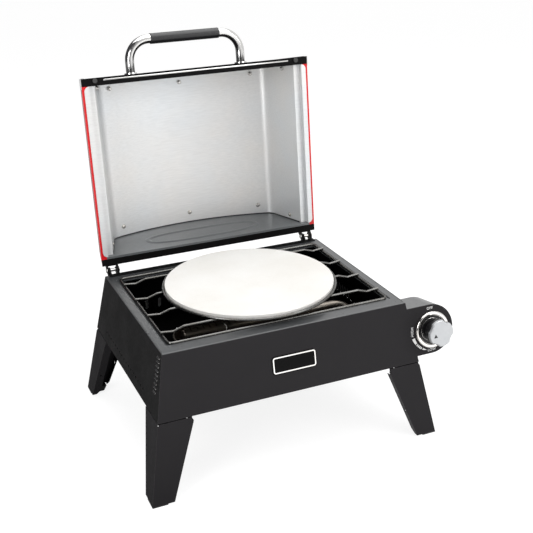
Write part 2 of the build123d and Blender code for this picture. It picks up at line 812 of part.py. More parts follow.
with BuildPart() as hinge_rail:
    with BuildSketch(Plane.YZ.offset(-rail_half)):
        Polygon(
            (rim_depth / 2 - rail_strip, rail_top),
            (rail_y(rail_top), rail_top),
            (rail_y(rail_foot_z), rail_foot_z),
            (rail_y(rail_foot_z) - rail_sheet / front_slope, rail_foot_z),
            (rail_y(rail_top - rail_sheet) - rail_sheet / front_slope, rail_top - rail_sheet),
            (rim_depth / 2 - rail_strip, rail_top - rail_sheet),
            align=None,
        )
    extrude(amount=2 * rail_half)
    for x in (-hinge_x - ear_inner - ear_sheet / 2, -hinge_x + ear_inner - ear_sheet / 2):
        for start in (x, -x - ear_sheet):
            with BuildSketch(Plane.YZ.offset(start)):
                with Locations((hinge_y, hinge_z)):
                    Circle(ear_r)
                with Locations(
                    (rail_y(rail_top) - rail_sheet / 2, rail_top - rail_sheet / 2),
                    (rail_y(rail_foot_z) - rail_sheet / 2, rail_foot_z + rail_sheet / 2),
                ):
                    Circle(hull_end * rail_sheet)
                make_hull()
                with Locations((hinge_y, hinge_z)):
                    Circle(pin_r + pin_fit, mode=Mode.SUBTRACT)
            extrude(amount=ear_sheet)
finish(hinge_rail, "hinge_rail")

lid_ear_in = ear_inner + ear_sheet / 2 + lid_ear_gap
pin_half = lid_ear_in + ear_sheet + pin_end_gap
with BuildPart() as hinge_pins:
    for x in (-hinge_x, hinge_x):
        with BuildSketch(Plane.YZ.offset(x - pin_half)):
            with Locations((hinge_y, hinge_z)):
                Circle(pin_r)
        extrude(amount=2 * pin_half)
        for end in (-1, 1):
            with BuildSketch(Plane(origin=(x + end * pin_half, hinge_y, hinge_z), z_dir=(end, 0, 0))):
                Circle(pin_head_r)
            extrude(amount=pin_head)
    fillet(hinge_pins.faces().filter_by(Axis.X).filter_by(
        lambda face: abs(abs(abs(face.center().X) - hinge_x) - pin_half - pin_head) < 0.01
    ).edges(), radius=head_round * pin_head)
finish(hinge_pins, "hinge_pins")

# Lid. Its sketches are drawn as it lies shut, on planes turned to the open pose.
lid_base = rim_height + lid_gap
lid_turn = Location((0, hinge_y, hinge_z), (-open_angle, 0, 0)) * Location((0, -hinge_y, -hinge_z))
section_tail = 30.0
lid_reach = lid_back - lid_front + 2 * section_tail
lid_corner_x = lid_half - lid_corner_height * tan(radians(lid_draft))


def on_lid(plane):
    return Plane(lid_turn * plane.location)


lid_section = on_lid(Plane(
    origin=(0, lid_back + section_tail, lid_base), x_dir=(1, 0, 0), z_dir=(0, -1, 0)
))
front_end = on_lid(Plane(
    origin=(0, lid_front, lid_base),
    x_dir=(1, 0, 0),
    z_dir=(0, -cos(radians(front_lean)), sin(radians(front_lean))),
))
back_end = on_lid(Plane(
    origin=(0, lid_back, lid_base),
    x_dir=(-1, 0, 0),
    z_dir=(0, cos(radians(back_lean)), sin(radians(back_lean))),
))


def lid_profile(inset, low, high=None):
    foot = lid_half + section_tail * tan(radians(lid_draft))
    with BuildSketch() as section:
        with BuildLine():
            Polyline(
                (-lid_corner_x, lid_corner_height),
                (-foot, -section_tail),
                (foot, -section_tail),
                (lid_corner_x, lid_corner_height),
            )
            ThreePointArc(
                (-lid_corner_x, lid_corner_height),
                (0, lid_height),
                (lid_corner_x, lid_corner_height),
            )
        make_face()
        fillet(section.vertices().group_by(Axis.Y)[-1], radius=lid_corner_round)
        if inset:
            offset(amount=-inset)
        with Locations((0, low - lid_half)):
            Rectangle(3 * lid_half, 2 * lid_half, mode=Mode.SUBTRACT)
        if high:
            with Locations((0, high + lid_half)):
                Rectangle(3 * lid_half, 2 * lid_half, mode=Mode.SUBTRACT)
    return section.sketch


def liner_profile(inset, low):
    with BuildSketch() as section:
        with BuildLine():
            Polyline(
                (-liner_corner_x, liner_corner_height),
                (-liner_wall_x, liner_step),
                (liner_wall_x, liner_step),
                (liner_corner_x, liner_corner_height),
            )
            ThreePointArc(
                (-liner_corner_x, liner_corner_height),
                (0, liner_height),
                (liner_corner_x, liner_corner_height),
            )
        make_face()
        fillet(section.vertices().group_by(Axis.Y)[-1], radius=liner_corner_round)
        with Locations((0, (liner_step - section_tail) / 2)):
            Rectangle(2 * liner_step_x, liner_step + section_tail)
        offset(amount=-inset, kind=Kind.INTERSECTION)
        with Locations((0, low - lid_half)):
            Rectangle(3 * lid_half, 2 * lid_half, mode=Mode.SUBTRACT)
    return section.sketch


def leaning_slab(front_y, front_angle, back_y, back_angle):
    low = -section_tail
    high = lid_height + section_tail
    with BuildPart() as slab:
        with BuildSketch(on_lid(Plane(origin=(0, 0, lid_base), x_dir=(0, 1, 0), z_dir=(1, 0, 0)))):
            Polygon(
                (front_y + low * tan(radians(front_angle)), low),
                (back_y + low * tan(radians(back_angle)), low),
                (back_y + high * tan(radians(back_angle)), high),
                (front_y + high * tan(radians(front_angle)), high),
                align=None,
            )
        extrude(amount=2 * lid_half, both=True)
    return slab.part


def lid_block(section, slab):
    with BuildPart() as block:
        with BuildSketch(lid_section):
            add(section)
        extrude(amount=lid_reach)
        add(slab, mode=Mode.INTERSECT)
    return block.part


whole_lid = leaning_slab(lid_front, front_lean, lid_back, -back_lean)
bar_gap = 2 * cap_fit
with BuildPart() as lid_shell:
    with BuildSketch(lid_section):
        add(lid_profile(0, 0))
        add(lid_profile(lid_sheet, lid_sheet), mode=Mode.SUBTRACT)
    extrude(amount=lid_reach)
    add(whole_lid, mode=Mode.INTERSECT)
    with BuildSketch(on_lid(Plane.XY.offset(lid_base - lid_sheet))):
        Rectangle(2 * lid_flange_x, 3 * lid_back)
    extrude(amount=2 * lid_sheet + cap_fit, mode=Mode.SUBTRACT)
    with BuildSketch(on_lid(Plane.XY.offset(lid_base - lid_sheet))):
        with Locations((0, lid_front)):
            Rectangle(3 * lid_half, 2 * (front_bar + bar_gap))
        with Locations((0, lid_back)):
            Rectangle(3 * lid_half, 2 * (back_bar + bar_gap))
    extrude(amount=lid_sheet + cap_sheet + cap_fit, mode=Mode.SUBTRACT)
finish(lid_shell, "lid_shell")

inner = lid_sheet + cap_fit
front_cap_in = cap_sheet / cos(radians(front_lean))
back_cap_in = cap_sheet / cos(radians(back_lean))
with BuildPart() as lid_front_cap:
    front_sheet = leaning_slab(lid_front, front_lean, lid_front + front_cap_in, front_lean)
    add(lid_block(lid_profile(inner, 0), front_sheet))
    front_foot = leaning_slab(lid_front, front_lean, lid_front + front_bar, 0)
    add(lid_block(lid_profile(0, 0, cap_sheet), front_foot))
    with BuildSketch(on_lid(Plane.XY.offset(lid_base))):
        with Locations((0, bumper_y)):
            SlotOverall(2 * bead_half, bead_width)
    extrude(amount=-bead_rise)
finish(lid_front_cap, "lid_front_cap")

with BuildPart() as lid_back_cap:
    back_sheet = leaning_slab(lid_back - back_cap_in, -back_lean, lid_back, -back_lean)
    add(lid_block(lid_profile(inner, 0), back_sheet))
    back_foot = leaning_slab(lid_back - back_bar, 0, lid_back, -back_lean)
    add(lid_block(lid_profile(0, 0, cap_sheet), back_foot))
finish(lid_back_cap, "lid_back_cap")

inner_front_y = lid_front + inner_front_inset
inner_back_y = lid_back - inner_back_inset
panel_low = cap_sheet + cap_fit
with BuildPart() as lid_inner_front:
    add(lid_block(
        liner_profile(-panel_margin, panel_low),
        leaning_slab(inner_front_y - inner_panel_sheet, inner_front_lean, inner_front_y, inner_front_lean),
    ))
finish(lid_inner_front, "lid_inner_front")

inner_back_face = on_lid(Plane(
    origin=(0, inner_back_y, lid_base),
    x_dir=(1, 0, 0),
    z_dir=(0, -cos(radians(back_lean)), -sin(radians(back_lean))),
))
with BuildPart() as lid_inner_back:
    add(lid_block(
        liner_profile(-panel_margin, 0),
        leaning_slab(inner_back_y, -back_lean, inner_back_y + inner_panel_sheet, -back_lean),
    ))
    with BuildSketch(on_lid(Plane.XY.offset(lid_base))):
        with Locations((0, (inner_back_y + lid_back - back_bar - cap_fit) / 2)):
            Rectangle(2 * (liner_step_x + panel_margin), lid_back - back_bar - cap_fit - inner_back_y)
    extrude(amount=inner_panel_sheet)
    with BuildSketch(inner_back_face):
        with BuildLine():
            ThreePointArc((-rib_half, rib_low), (0, rib_high), (rib_half, rib_low))
        trace(line_width=rib_width)
    extrude(amount=rib_rise, taper=rib_taper)
finish(lid_inner_back, "lid_inner_back")

liner_low = -cap_fit - liner_sheet
with BuildPart() as lid_liner:
    with BuildSketch(lid_section):
        add(liner_profile(0, liner_low))
        add(liner_profile(liner_sheet, liner_low - bite), mode=Mode.SUBTRACT)
    extrude(amount=lid_reach)
    add(
        leaning_slab(inner_front_y + cap_fit, inner_front_lean, inner_back_y - cap_fit, -back_lean),
        mode=Mode.INTERSECT,
    )
    flange_front = lid_front + front_bar + bar_gap
    flange_back = inner_back_y - cap_fit
    with BuildSketch(on_lid(Plane.XY.offset(lid_base + liner_low))):
        with Locations((0, (flange_front + flange_back) / 2)):
            RectangleRounded(2 * liner_flange_x, flange_back - flange_front, liner_flange_round)
            Rectangle(2 * (liner_step_x - liner_sheet), 2 * lid_back, mode=Mode.SUBTRACT)
    extrude(amount=liner_sheet)
finish(lid_liner, "lid_liner")

trim_out = trim_sheet + cap_fit
with BuildPart() as trim_band:
    with BuildSketch(lid_section):
        add(lid_profile(-trim_out, 0))
        add(lid_profile(-cap_fit, -bite), mode=Mode.SUBTRACT)
    extrude(amount=lid_reach)
    add(
        leaning_slab(lid_front - trim_out, front_lean, lid_front + trim_width, front_lean),
        mode=Mode.INTERSECT,
    )
    trim_front = leaning_slab(lid_front - trim_out, front_lean, lid_front - cap_fit, front_lean)
    add(lid_block(lid_profile(-trim_out, 0), trim_front))
    trim_inside = leaning_slab(lid_front - 2 * trim_out, front_lean, lid_front - cap_fit, front_lean)
    add(lid_block(lid_profile(trim_lip, -bite), trim_inside), mode=Mode.SUBTRACT)
finish(trim_band, "trim_band")

with BuildPart() as lid_bumpers:
    with BuildSketch(on_lid(Plane.XY.offset(lid_base - bumper_height))):
        with Locations((-bumper_x, bumper_y), (bumper_x, bumper_y)):
            Circle(bumper_r)
    extrude(amount=bumper_height)
finish(lid_bumpers, "lid_bumpers")

# Lid hinge brackets: a plate on the lid's back, two ears, and a heel that stops on the rail
heel_z = hinge_z - heel_drop
heel_y = rail_y(heel_z) + (heel_r + heel_gap) / front_slope
plate_high = lid_plate_low + lid_plate_height
with BuildPart() as lid_hinge_brackets:
    for middle in (-hinge_x, hinge_x):
        with BuildSketch(back_end.offset(cap_fit)):
            with Locations((middle, lid_plate_low + lid_plate_height / 2)):
                Rectangle(2 * (lid_ear_in + ear_sheet), lid_plate_height)
        extrude(amount=lid_plate_sheet)
        for start in (middle - lid_ear_in - ear_sheet, middle + lid_ear_in):
            with BuildSketch(on_lid(Plane.YZ.offset(start))):
                plate_y = lid_back + cap_fit + lid_plate_sheet / 2
                lean_y = plate_y - plate_high * tan(radians(back_lean))
                with Locations((hinge_y, hinge_z)):
                    Circle(ear_r)
                with Locations(
                    (plate_y, lid_base + lid_plate_low + lid_plate_sheet / 2),
                    (lean_y, lid_base + plate_high - lid_plate_sheet / 2),
                ):
                    Circle(hull_end * lid_plate_sheet)
                make_hull()
            extrude(amount=ear_sheet)
            with BuildSketch(Plane.YZ.offset(start)):
                with Locations((hinge_y, hinge_z)):
                    Circle(ear_r)
                with Locations((heel_y, heel_z)):
                    Circle(heel_r)
                make_hull()
            extrude(amount=ear_sheet)
        with BuildSketch(Plane.YZ.offset(middle - lid_ear_in - 2 * ear_sheet)):
            with Locations((hinge_y, hinge_z)):
                Circle(pin_r + pin_fit)
        extrude(amount=2 * (lid_ear_in + 2 * ear_sheet), mode=Mode.SUBTRACT)
finish(lid_hinge_brackets, "lid_hinge_brackets")

# Handle: bent tube across the front of the lid, feet and grip
handle_y = lid_front - handle_reach
handle_z = lid_base + handle_rise
with BuildPart() as handle_tube:
    with BuildLine(on_lid(Plane.XY.offset(handle_z))):
        FilletPolyline(
            (-handle_half, 0),
            (-handle_half, handle_y),
            (handle_half, handle_y),
            (handle_half, 0),
            radius=tube_bend,
        )
    with BuildSketch(on_lid(Plane(origin=(-handle_half, 0, handle_z), x_dir=(1, 0, 0), z_dir=(0, -1, 0)))):
        Circle(tube_r)
        Circle(tube_r - tube_wall, mode=Mode.SUBTRACT)
    sweep()
    with BuildSketch(front_end.offset(cap_fit)):
        Rectangle(3 * lid_half, 4 * lid_height)
    extrude(amount=-2 * lid_back, mode=Mode.SUBTRACT)
finish(handle_tube, "handle_tube")

grip_end = on_lid(Plane(origin=(-grip_half, handle_y, handle_z), x_dir=(0, 1, 0), z_dir=(1, 0, 0)))
with BuildPart() as handle_grip:
    with BuildSketch(grip_end):
        Circle(grip_r)
    extrude(amount=2 * grip_half)
    fillet(handle_grip.edges(), radius=grip_round)
    with BuildSketch(grip_end):
        Circle(tube_r + tube_fit)
    extrude(amount=2 * grip_half, mode=Mode.SUBTRACT)
finish(handle_grip, "handle_grip")

with BuildPart() as handle_feet:
    for x in (-handle_half, handle_half):
        with BuildSketch(front_end.offset(cap_fit)):
            with Locations((x, handle_rise / cos(radians(front_lean)))):
                Circle(handle_foot_r)
        extrude(amount=handle_foot, taper=handle_foot_taper)
        with BuildSketch(on_lid(Plane(origin=(x, 0, handle_z), x_dir=(1, 0, 0), z_dir=(0, -1, 0)))):
            Circle(tube_r + tube_fit)
        extrude(amount=2 * lid_back, mode=Mode.SUBTRACT)
finish(handle_feet, "handle_feet")

# Legs: tapered folded sheet that carries the body's corner lines down to the table
leg_top_z = body_bottom - leg_gap


def leg_share(z):
    return (leg_top_z - z) / (leg_top_z - pad_stand)


def leg_width(z):
    return leg_top_width + (leg_foot_width - leg_top_width) * leg_share(z)


def leg_depth(z):
    return leg_top_depth + (leg_foot_depth - leg_top_depth) * leg_share(z)


def leg_block(z_low, z_high, near, far):
    with BuildPart() as block:
        for z in (z_low, z_high):
            with BuildSketch(Plane.XY.offset(z)):
                with Locations((-outer_x(z) + near, -outer_y(z) + near)):
                    Rectangle(
                        leg_width(z) - near - far,
                        leg_depth(z) - near - far,
                        align=(Align.MIN, Align.MIN),
                    )
        loft()
    return block.part


# the pivot and the slope of the leg's inner edge, on the front face's plane
edge_top = Vector(-outer_x(leg_top_z) + leg_top_width, -(rim_height - leg_top_z) / front_slope)
edge_foot = Vector(-outer_x(pad_stand) + leg_foot_width, -(rim_height - pad_stand) / front_slope)
edge_down = (edge_foot - edge_top).normalized()
edge_out = Vector(-edge_down.Y, edge_down.X)
pivot_drop = Vector(0, -leg_corner)
pivot_run = (leg_corner + pivot_drop.dot(edge_out)) / edge_out.X
pivot = edge_top + Vector(-pivot_run, -leg_corner)


hole_z = leg_top_z - leg_hole_share * (leg_top_z - pad_stand)


def front_flange_spot(z, from_outside):
    return (leg_width(z) - outer_x(z), from_outside - outer_y(z), z)


def side_flange_spot(z, from_outside):
    return (from_outside - outer_x(z), leg_depth(z) - outer_y(z), z)


def beside_pivot(down, out):
    spot = pivot + edge_down * down + edge_out * out
    return (spot.X, spot.Y)


with BuildPart() as leg_front_left:
    add(leg_block(pad_stand, leg_top_z, 0, 0))
    add(leg_block(pad_stand - bite, leg_top_z + bite, leg_sheet, leg_sheet), mode=Mode.SUBTRACT)
    add(leg_block(pad_stand - bite, leg_top_z + bite, leg_flange, -2 * leg_sheet), mode=Mode.SUBTRACT)
    with BuildSketch(front_face.offset(leg_sheet)):
        reach = 3 * leg_corner
        Polygon(
            (pivot.X, pivot.Y),
            (pivot.X, pivot.Y + reach),
            (pivot.X + reach, pivot.Y + reach),
            beside_pivot(0, reach),
            align=None,
        )
        with Locations((pivot.X, pivot.Y)):
            Circle(leg_corner, mode=Mode.SUBTRACT)
    extrude(amount=-leg_flange, mode=Mode.SUBTRACT)
    with BuildSketch(front_face.offset(-leg_sheet)):
        Polygon(
            beside_pivot(leg_flange_start, leg_corner - 2 * leg_sheet),
            beside_pivot(leg_flange_start, leg_corner + leg_sheet),
            beside_pivot(-reach, leg_corner + leg_sheet),
            beside_pivot(-reach, leg_corner - 2 * leg_sheet),
            align=None,
        )
    extrude(amount=-2 * leg_flange, mode=Mode.SUBTRACT)
    with BuildSketch(front_face.offset(leg_sheet)):
        with Locations((pivot.X, pivot.Y)):
            Circle(leg_pin_r + pin_fit)
    extrude(amount=-3 * leg_sheet, mode=Mode.SUBTRACT)
    with BuildSketch(front_face.offset(leg_sheet)):
        with Locations((-outer_x(leg_top_z), -(rim_height - leg_top_z) / front_slope)):
            Polygon(
                (-leg_outer_cut, -2 * leg_outer_cut),
                (2 * leg_outer_cut, leg_outer_cut),
                (-leg_outer_cut, leg_outer_cut),
                align=None,
            )
    extrude(amount=-(leg_sheet + leg_outer_cut), mode=Mode.SUBTRACT)
    with Locations(
        Plane(origin=front_flange_spot(hole_z, leg_flange / 2), z_dir=(1, 0, 0)),
        Plane(origin=side_flange_spot(hole_z, leg_flange / 2), z_dir=(0, 1, 0)),
    ):
        Cylinder(leg_hole_r, 6 * leg_sheet, mode=Mode.SUBTRACT)
    for turn, spot in (
        (Plane.YZ, front_flange_spot(pad_stand, leg_flange)),
        (Plane.XZ, side_flange_spot(pad_stand, leg_flange)),
    ):
        with BuildSketch(Plane(origin=spot, x_dir=turn.x_dir, z_dir=turn.z_dir)):
            Polygon(
                (-leg_flange_cut, 0),
                (leg_flange_cut, 2 * leg_flange_cut),
                (leg_flange_cut, -leg_flange_cut),
                (-leg_flange_cut, -leg_flange_cut),
                align=None,
            )
        extrude(amount=3 * leg_sheet, both=True, mode=Mode.SUBTRACT)
finish(leg_front_left, "leg_front_left")

with BuildPart() as leg_front_right:
    mirror(leg_front_left.part, about=Plane.YZ)
finish(leg_front_right, "leg_front_right")

with BuildPart() as leg_back_left:
    mirror(leg_front_left.part, about=Plane.XZ)
finish(leg_back_left, "leg_back_left")

with BuildPart() as leg_back_right:
    mirror(leg_front_right.part, about=Plane.XZ)
finish(leg_back_right, "leg_back_right")

with BuildPart() as pad_front_left:
    add(leg_block(0, pad_stand, 0, pad_short))
    add(leg_block(pad_stand, pad_height, leg_sheet + pad_gap, pad_short))
finish(pad_front_left, "pad_front_left")

with BuildPart() as pad_front_right:
    mirror(pad_front_left.part, about=Plane.YZ)
finish(pad_front_right, "pad_front_right")

with BuildPart() as pad_back_left:
    mirror(pad_front_left.part, about=Plane.XZ)
finish(pad_back_left, "pad_back_left")

with BuildPart() as pad_back_right:
    mirror(pad_front_right.part, about=Plane.XZ)
finish(pad_back_right, "pad_back_right")

# Brackets under the floor and the rivets that the legs turn on
bracket_face = front_face.offset(-leg_sheet - leg_bracket_gap)
pivot_z = rim_height + pivot.Y * front_slope
with BuildPart() as leg_brackets:
    with BuildSketch(bracket_face):
        with Locations((pivot.X, pivot.Y)):
            Circle(leg_bracket_r)
            Rectangle(2 * leg_bracket_r, 2 * (floor_z - pivot_z), align=(Align.CENTER, Align.MIN))
            Circle(leg_pin_r + pin_fit, mode=Mode.SUBTRACT)
    extrude(amount=-leg_bracket_sheet)
    with BuildSketch(Plane.XY.offset(floor_z - leg_bracket_sheet)):
        with Locations((pivot.X, -outer_y(floor_z) + front_inset + leg_bracket_gap)):
            Rectangle(2 * leg_bracket_r, leg_bracket_foot, align=(Align.CENTER, Align.MIN))
    extrude(amount=leg_bracket_sheet)
    with BuildSketch(Plane.XY.offset(floor_z)):
        Rectangle(3 * rim_width, 3 * rim_depth)
    extrude(amount=rim_height, mode=Mode.SUBTRACT)
    mirror(about=Plane.YZ)
    mirror(about=Plane.XZ)
finish(leg_brackets, "leg_brackets")

rivet_tail = leg_sheet + leg_bracket_gap + leg_bracket_sheet + leg_head
with BuildPart() as leg_pivot_pins:
    with BuildSketch(front_face.offset(cap_fit)):
        with Locations((pivot.X, pivot.Y)):
            Circle(leg_head_r)
    extrude(amount=leg_head)
    fillet(leg_pivot_pins.faces().sort_by(knob_line)[-1].edges(), radius=head_round * leg_head)
    with BuildSketch(front_face.offset(cap_fit)):
        with Locations((pivot.X, pivot.Y)):
            Circle(leg_pin_r)
    extrude(amount=-(rivet_tail + cap_fit))
    with BuildSketch(front_face.offset(-rivet_tail)):
        with Locations((pivot.X, pivot.Y)):
            Circle(leg_head_r - leg_head)
    extrude(amount=leg_head - cap_fit)
    mirror(about=Plane.YZ)
    mirror(about=Plane.XZ)
finish(leg_pivot_pins, "leg_pivot_pins")
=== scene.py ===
import json
from math import copysign, cos, pi, radians, sin

import bmesh
import bpy
from mathutils import Matrix, Vector
from mathutils.bvhtree import BVHTree


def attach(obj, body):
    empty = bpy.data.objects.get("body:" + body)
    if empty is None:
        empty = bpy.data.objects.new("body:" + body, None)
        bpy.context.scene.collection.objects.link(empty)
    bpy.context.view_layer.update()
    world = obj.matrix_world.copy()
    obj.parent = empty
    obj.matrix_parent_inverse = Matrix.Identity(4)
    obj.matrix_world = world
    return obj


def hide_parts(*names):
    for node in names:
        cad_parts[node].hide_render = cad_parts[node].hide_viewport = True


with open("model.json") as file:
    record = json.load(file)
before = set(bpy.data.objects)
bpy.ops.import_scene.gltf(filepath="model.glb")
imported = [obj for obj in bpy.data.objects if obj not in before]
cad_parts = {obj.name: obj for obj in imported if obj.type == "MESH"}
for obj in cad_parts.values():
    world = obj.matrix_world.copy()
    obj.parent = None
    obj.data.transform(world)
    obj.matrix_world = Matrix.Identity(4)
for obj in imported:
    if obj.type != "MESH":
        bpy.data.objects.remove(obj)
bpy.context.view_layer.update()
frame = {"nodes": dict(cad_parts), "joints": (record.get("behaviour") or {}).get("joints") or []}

# The looks of a tabletop gas pizza oven with its lid open. Metres, +Z up, +X to
# the right of someone standing at the knob, +Y to the back.

scene = bpy.context.scene
joints = {joint["name"]: joint for joint in frame["joints"]}
right = Vector((1, 0, 0))
back = Vector((0, 1, 0))
up = Vector((0, 0, 1))

# Camera, as the photograph was taken
camera_place = Vector((-0.63742, -1.59193, 1.02813))
camera_right = Vector((0.91675, -0.39886, -0.02191))
camera_down = Vector((-0.17145, -0.34335, -0.92342))
camera_ahead = Vector((0.36079, 0.85031, -0.38315))
focal_length = 64.42
sensor_width = 36.0
nearest = 0.05
farthest = 60.0

# Studio
floor_half = 14.0
floor_glow = 0.85          # strength of the floor's own light as the camera sees it
dark_side = (0.06, 0.06, 0.065)
bright_side = (0.92, 0.92, 0.92)

# Finishes
noise_roughness = 0.55
edge_radius = 0.0011       # of the paler edges of enamelled sheet
edge_share = 0.8           # how far they turn pale
coat_roughness = 0.12
disc_silver = (0.49, 0.503, 0.515)
disc_blend = 0.0004        # depth over which the knob turns from black to silver
neck_black = (0.010, 0.010, 0.011)

# Front face: the knob's axis stands square on it
knob_centre = Vector(joints["knob_turn"]["pos_m"])
face_out = Vector(joints["knob_turn"]["axis"])
face_up = face_out.cross(right)

# How far small pieces, and flat marks, reach into what they stand on
seat = 0.0002
mark_seat = 0.0003
mark_rise = 0.00025

# Lid: its places are those of the shut lid, and this turn brings them to where the open lid has them
hinge_line = Vector(joints["lid_hinge"]["pos_m"])
lid_turn = radians(joints["lid_hinge"]["range_deg"][1])
lid_opened = (
    Matrix.Translation(hinge_line) @ Matrix.Rotation(-lid_turn, 4, "X") @ Matrix.Translation(-hinge_line)
)
lid_way = lid_opened.to_3x3()

# Fixings of the liner. A profile is in shares of the screw's radius or the nut's width, and of the rise
fixing_z = 0.3205
end_screws = ((-0.160, 0.1450), (0.0, 0.1423), (0.157, 0.1450))
end_nuts = ((-0.160, -0.1520), (0.0, -0.1474), (0.157, -0.1520))
side_screw_y = 0.1597
side_nut_y = -0.1640
screw_radius = 0.0034
screw_rise = 0.0022
screw_steps = 28
washer_radius = 0.00493
washer_rise = 0.0005
head_foot = 0.0006         # where the head starts over the washer
pan_head = ((1.0, 0.5), (0.86, 0.82), (0.55, 1.0), (0.30, 1.0), (0.24, 0.55), (0.0, 0.55))
nut_across = 0.0085
nut_rise = 0.0062
nut_flats = 0.55           # share of the rise
nut_chamfer = 0.0003
nut_steps = 20
acorn = ((0.0, 0.5), (0.44, 0.5), (0.42, 0.72), (0.28, 0.93), (0.0, 1.0))

# Bead along the underside of the front bar; its bright steel is a painted highlight of the bar's rolled
# edge
bead_y = -0.1835
bead_half = 0.198
bead_base = 0.2738
bead_width = 0.0034
bead_rise = 0.0016
bead_taper = 0.002         # length of each end, which thins to the tip's share
bead_tip = 0.35
bead_steps = 10

# Back panel of the lid: how it leans, its oval rib, and the black tube round it, a painted shadow of the
# gap between panel and liner
panel_foot = Vector((0, 0.1701, 0.300))
panel_lean = 0.055
rib_middle_z = 0.331
rib_half_x = 0.124
rib_half_z = 0.030
rib_bend_x = 0.7           # below 1 they make the oval fuller
rib_bend_z = 0.8
rib_steps = 96
rib_start_y = 0.12         # well in front of the panel
rib_half = 0.0075
rib_rise = 0.0020
rib_profile = ((-1, -0.15), (-0.7, 0.25), (-0.35, 0.8), (0, 1), (0.35, 0.8), (0.7, 0.25), (1, -0.15))
shadow_line_start = -3.0          # in degrees, from the right over the top
shadow_line_sweep = 186.0
shadow_line_steps = 80
shadow_line_radius = 0.0015
shadow_line_sides = 10
shadow_line_inset = 0.0008

# Hoods over the slots of the back wall: levels of height, half width and rise, from the open foot upwards
vent_first = 0.098
vent_pitch = 0.0275
vent_count = 3
vent_z = 0.1838
vent_beside = 0.0075       # from a slot's middle to the sheet beside it
behind_wall = 0.30
hood_levels = (
    (-0.0150, 0.0064, 0.0052), (0.0060, 0.0064, 0.0050), (0.0115, 0.0058, 0.0040),
    (0.0148, 0.0042, 0.0020), (0.0160, 0.0026, 0.0002),
)
hood_steps = 8
hood_bend = 0.6            # below 1 it makes the arch fuller
hood_inner_width = 0.84    # shares of the outer arch
hood_inner_rise = 0.80

# Louvres at the front of both side walls. Their blades are bright steel, a painted highlight of the light
# the black blades catch
louvre_y = -0.1775
louvre_middle_z = 0.2262
louvre_pitch = 0.00807
louvre_count = 9
louvre_open = 38.0         # degrees
beside_wall = 0.32
blade_half = 0.0062
blade_reach = 0.0030
blade_corner_x = 0.0004
blade_corner_y = 0.0006
blade_sheet = 0.0006
blade_chamfer = 0.0002
blade_fold = 0.0016        # how far above its louvre's middle a blade leaves the wall

# Turned-down edges of the tub over the legs, seen from above in the back right corner
skirt_x = 0.2607
skirt_y = 0.2094
skirt_end_x = 0.2090
skirt_end_y = 0.1410
skirt_corner = 0.0022
skirt_low = 0.1448
skirt_high = 0.1506
skirt_sheet = 0.0008

# Plate on the front
plate_width = 0.088
plate_height = 0.034
plate_corner = 0.006
plate_corner_steps = 6
plate_thick = 0.0016
plate_chamfer = 0.0004
plate_from_knob = Vector((-0.290, -0.003))
border_inset = 0.0016
border_width = 0.0022
border_rise = 0.0006

# Knob and its scale: angles in degrees, anticlockwise from the right
knob_lobes_turn = 15.0
knob_silver_back = 0.0320  # the silver of the front disc starts here, out from the front face
marker_place = Vector((-0.0135, -0.0030))
marker_outline = [(-0.0040, -0.0032), (0.0040, -0.0032), (0.0, 0.0036)]
scale_words = (("word_off", "OFF", 90.5, 0), ("word_high", "HIGH", 178, 88), ("word_low", "LOW", 269, 0))
letter_height = 0.0052
letter_share = 0.7         # a capital's height, of the font's size
letter_spacing = 1.08
letter_thick = 0.00012
letter_radius = 0.0415
level_seat = 0.0001
level_arc = (197, 215, 0.0062, 0.0040)      # start, end and the width at both
level_tail = (240, 252, 0.0040, 0.0010)
level_dashes = (218, 223, 228, 233)
dash_sweep = 3.4
dash_width = 0.0044
ring_radius = 0.0222
ring_above = 0.0021
ring_wire = 0.00028
ring_steps = 72
ring_sides = 8
tick_inner = 0.0172
tick_half = 0.00035
tick_angles = range(15, 360, 60)


def new_material(name, colour, rough, metal=0.0):
    """A material, its node tree and its Principled shader."""
    material = bpy.data.materials.new(name)
    material.use_nodes = True
    skin = material.node_tree.nodes["Principled BSDF"]
    skin.inputs["Base Color"].default_value = (*colour, 1)
    skin.inputs["Roughness"].default_value = rough
    skin.inputs["Metallic"].default_value = metal
    return material, material.node_tree, skin


def noise(tree, scale, detail=3.0, stretch=(1, 1, 1), offset=(0, 0, 0)):
    """Noise in the piece's own space: scale is in features per metre."""
    place = tree.nodes.new("ShaderNodeTexCoord")
    mapping = tree.nodes.new("ShaderNodeMapping")
    mapping.inputs["Scale"].default_value = stretch
    mapping.inputs["Location"].default_value = offset
    texture = tree.nodes.new("ShaderNodeTexNoise")
    texture.inputs["Scale"].default_value = scale
    texture.inputs["Detail"].default_value = detail
    texture.inputs["Roughness"].default_value = noise_roughness
    tree.links.new(place.outputs["Object"], mapping.inputs["Vector"])
    tree.links.new(mapping.outputs["Vector"], texture.inputs["Vector"])
    return texture.outputs["Fac"]


def spread(tree, value, low, high, start=0.3, end=0.7):
    """A value from start to end, laid out from low to high."""
    node = tree.nodes.new("ShaderNodeMapRange")
    node.inputs["From Min"].default_value = start
    node.inputs["From Max"].default_value = end
    node.inputs["To Min"].default_value = low
    node.inputs["To Max"].default_value = high
    tree.links.new(value, node.inputs["Value"])
    return node.outputs["Result"]


def mixed(tree, share, first, second):
    """A colour between two others. Either may be a colour or a socket."""
    node = tree.nodes.new("ShaderNodeMix")
    node.data_type = "RGBA"
    tree.links.new(share, node.inputs[0])
    for socket, colour in ((node.inputs[6], first), (node.inputs[7], second)):
        if isinstance(colour, bpy.types.NodeSocket):
            tree.links.new(colour, socket)
        else:
            socket.default_value = (*colour, 1)
    return node.outputs[2]


def added(tree, first, second):
    """The sum of two values."""
    node = tree.nodes.new("ShaderNodeMath")
    node.operation = "ADD"
    tree.links.new(first, node.inputs[0])
    tree.links.new(second, node.inputs[1])
    return node.outputs[0]


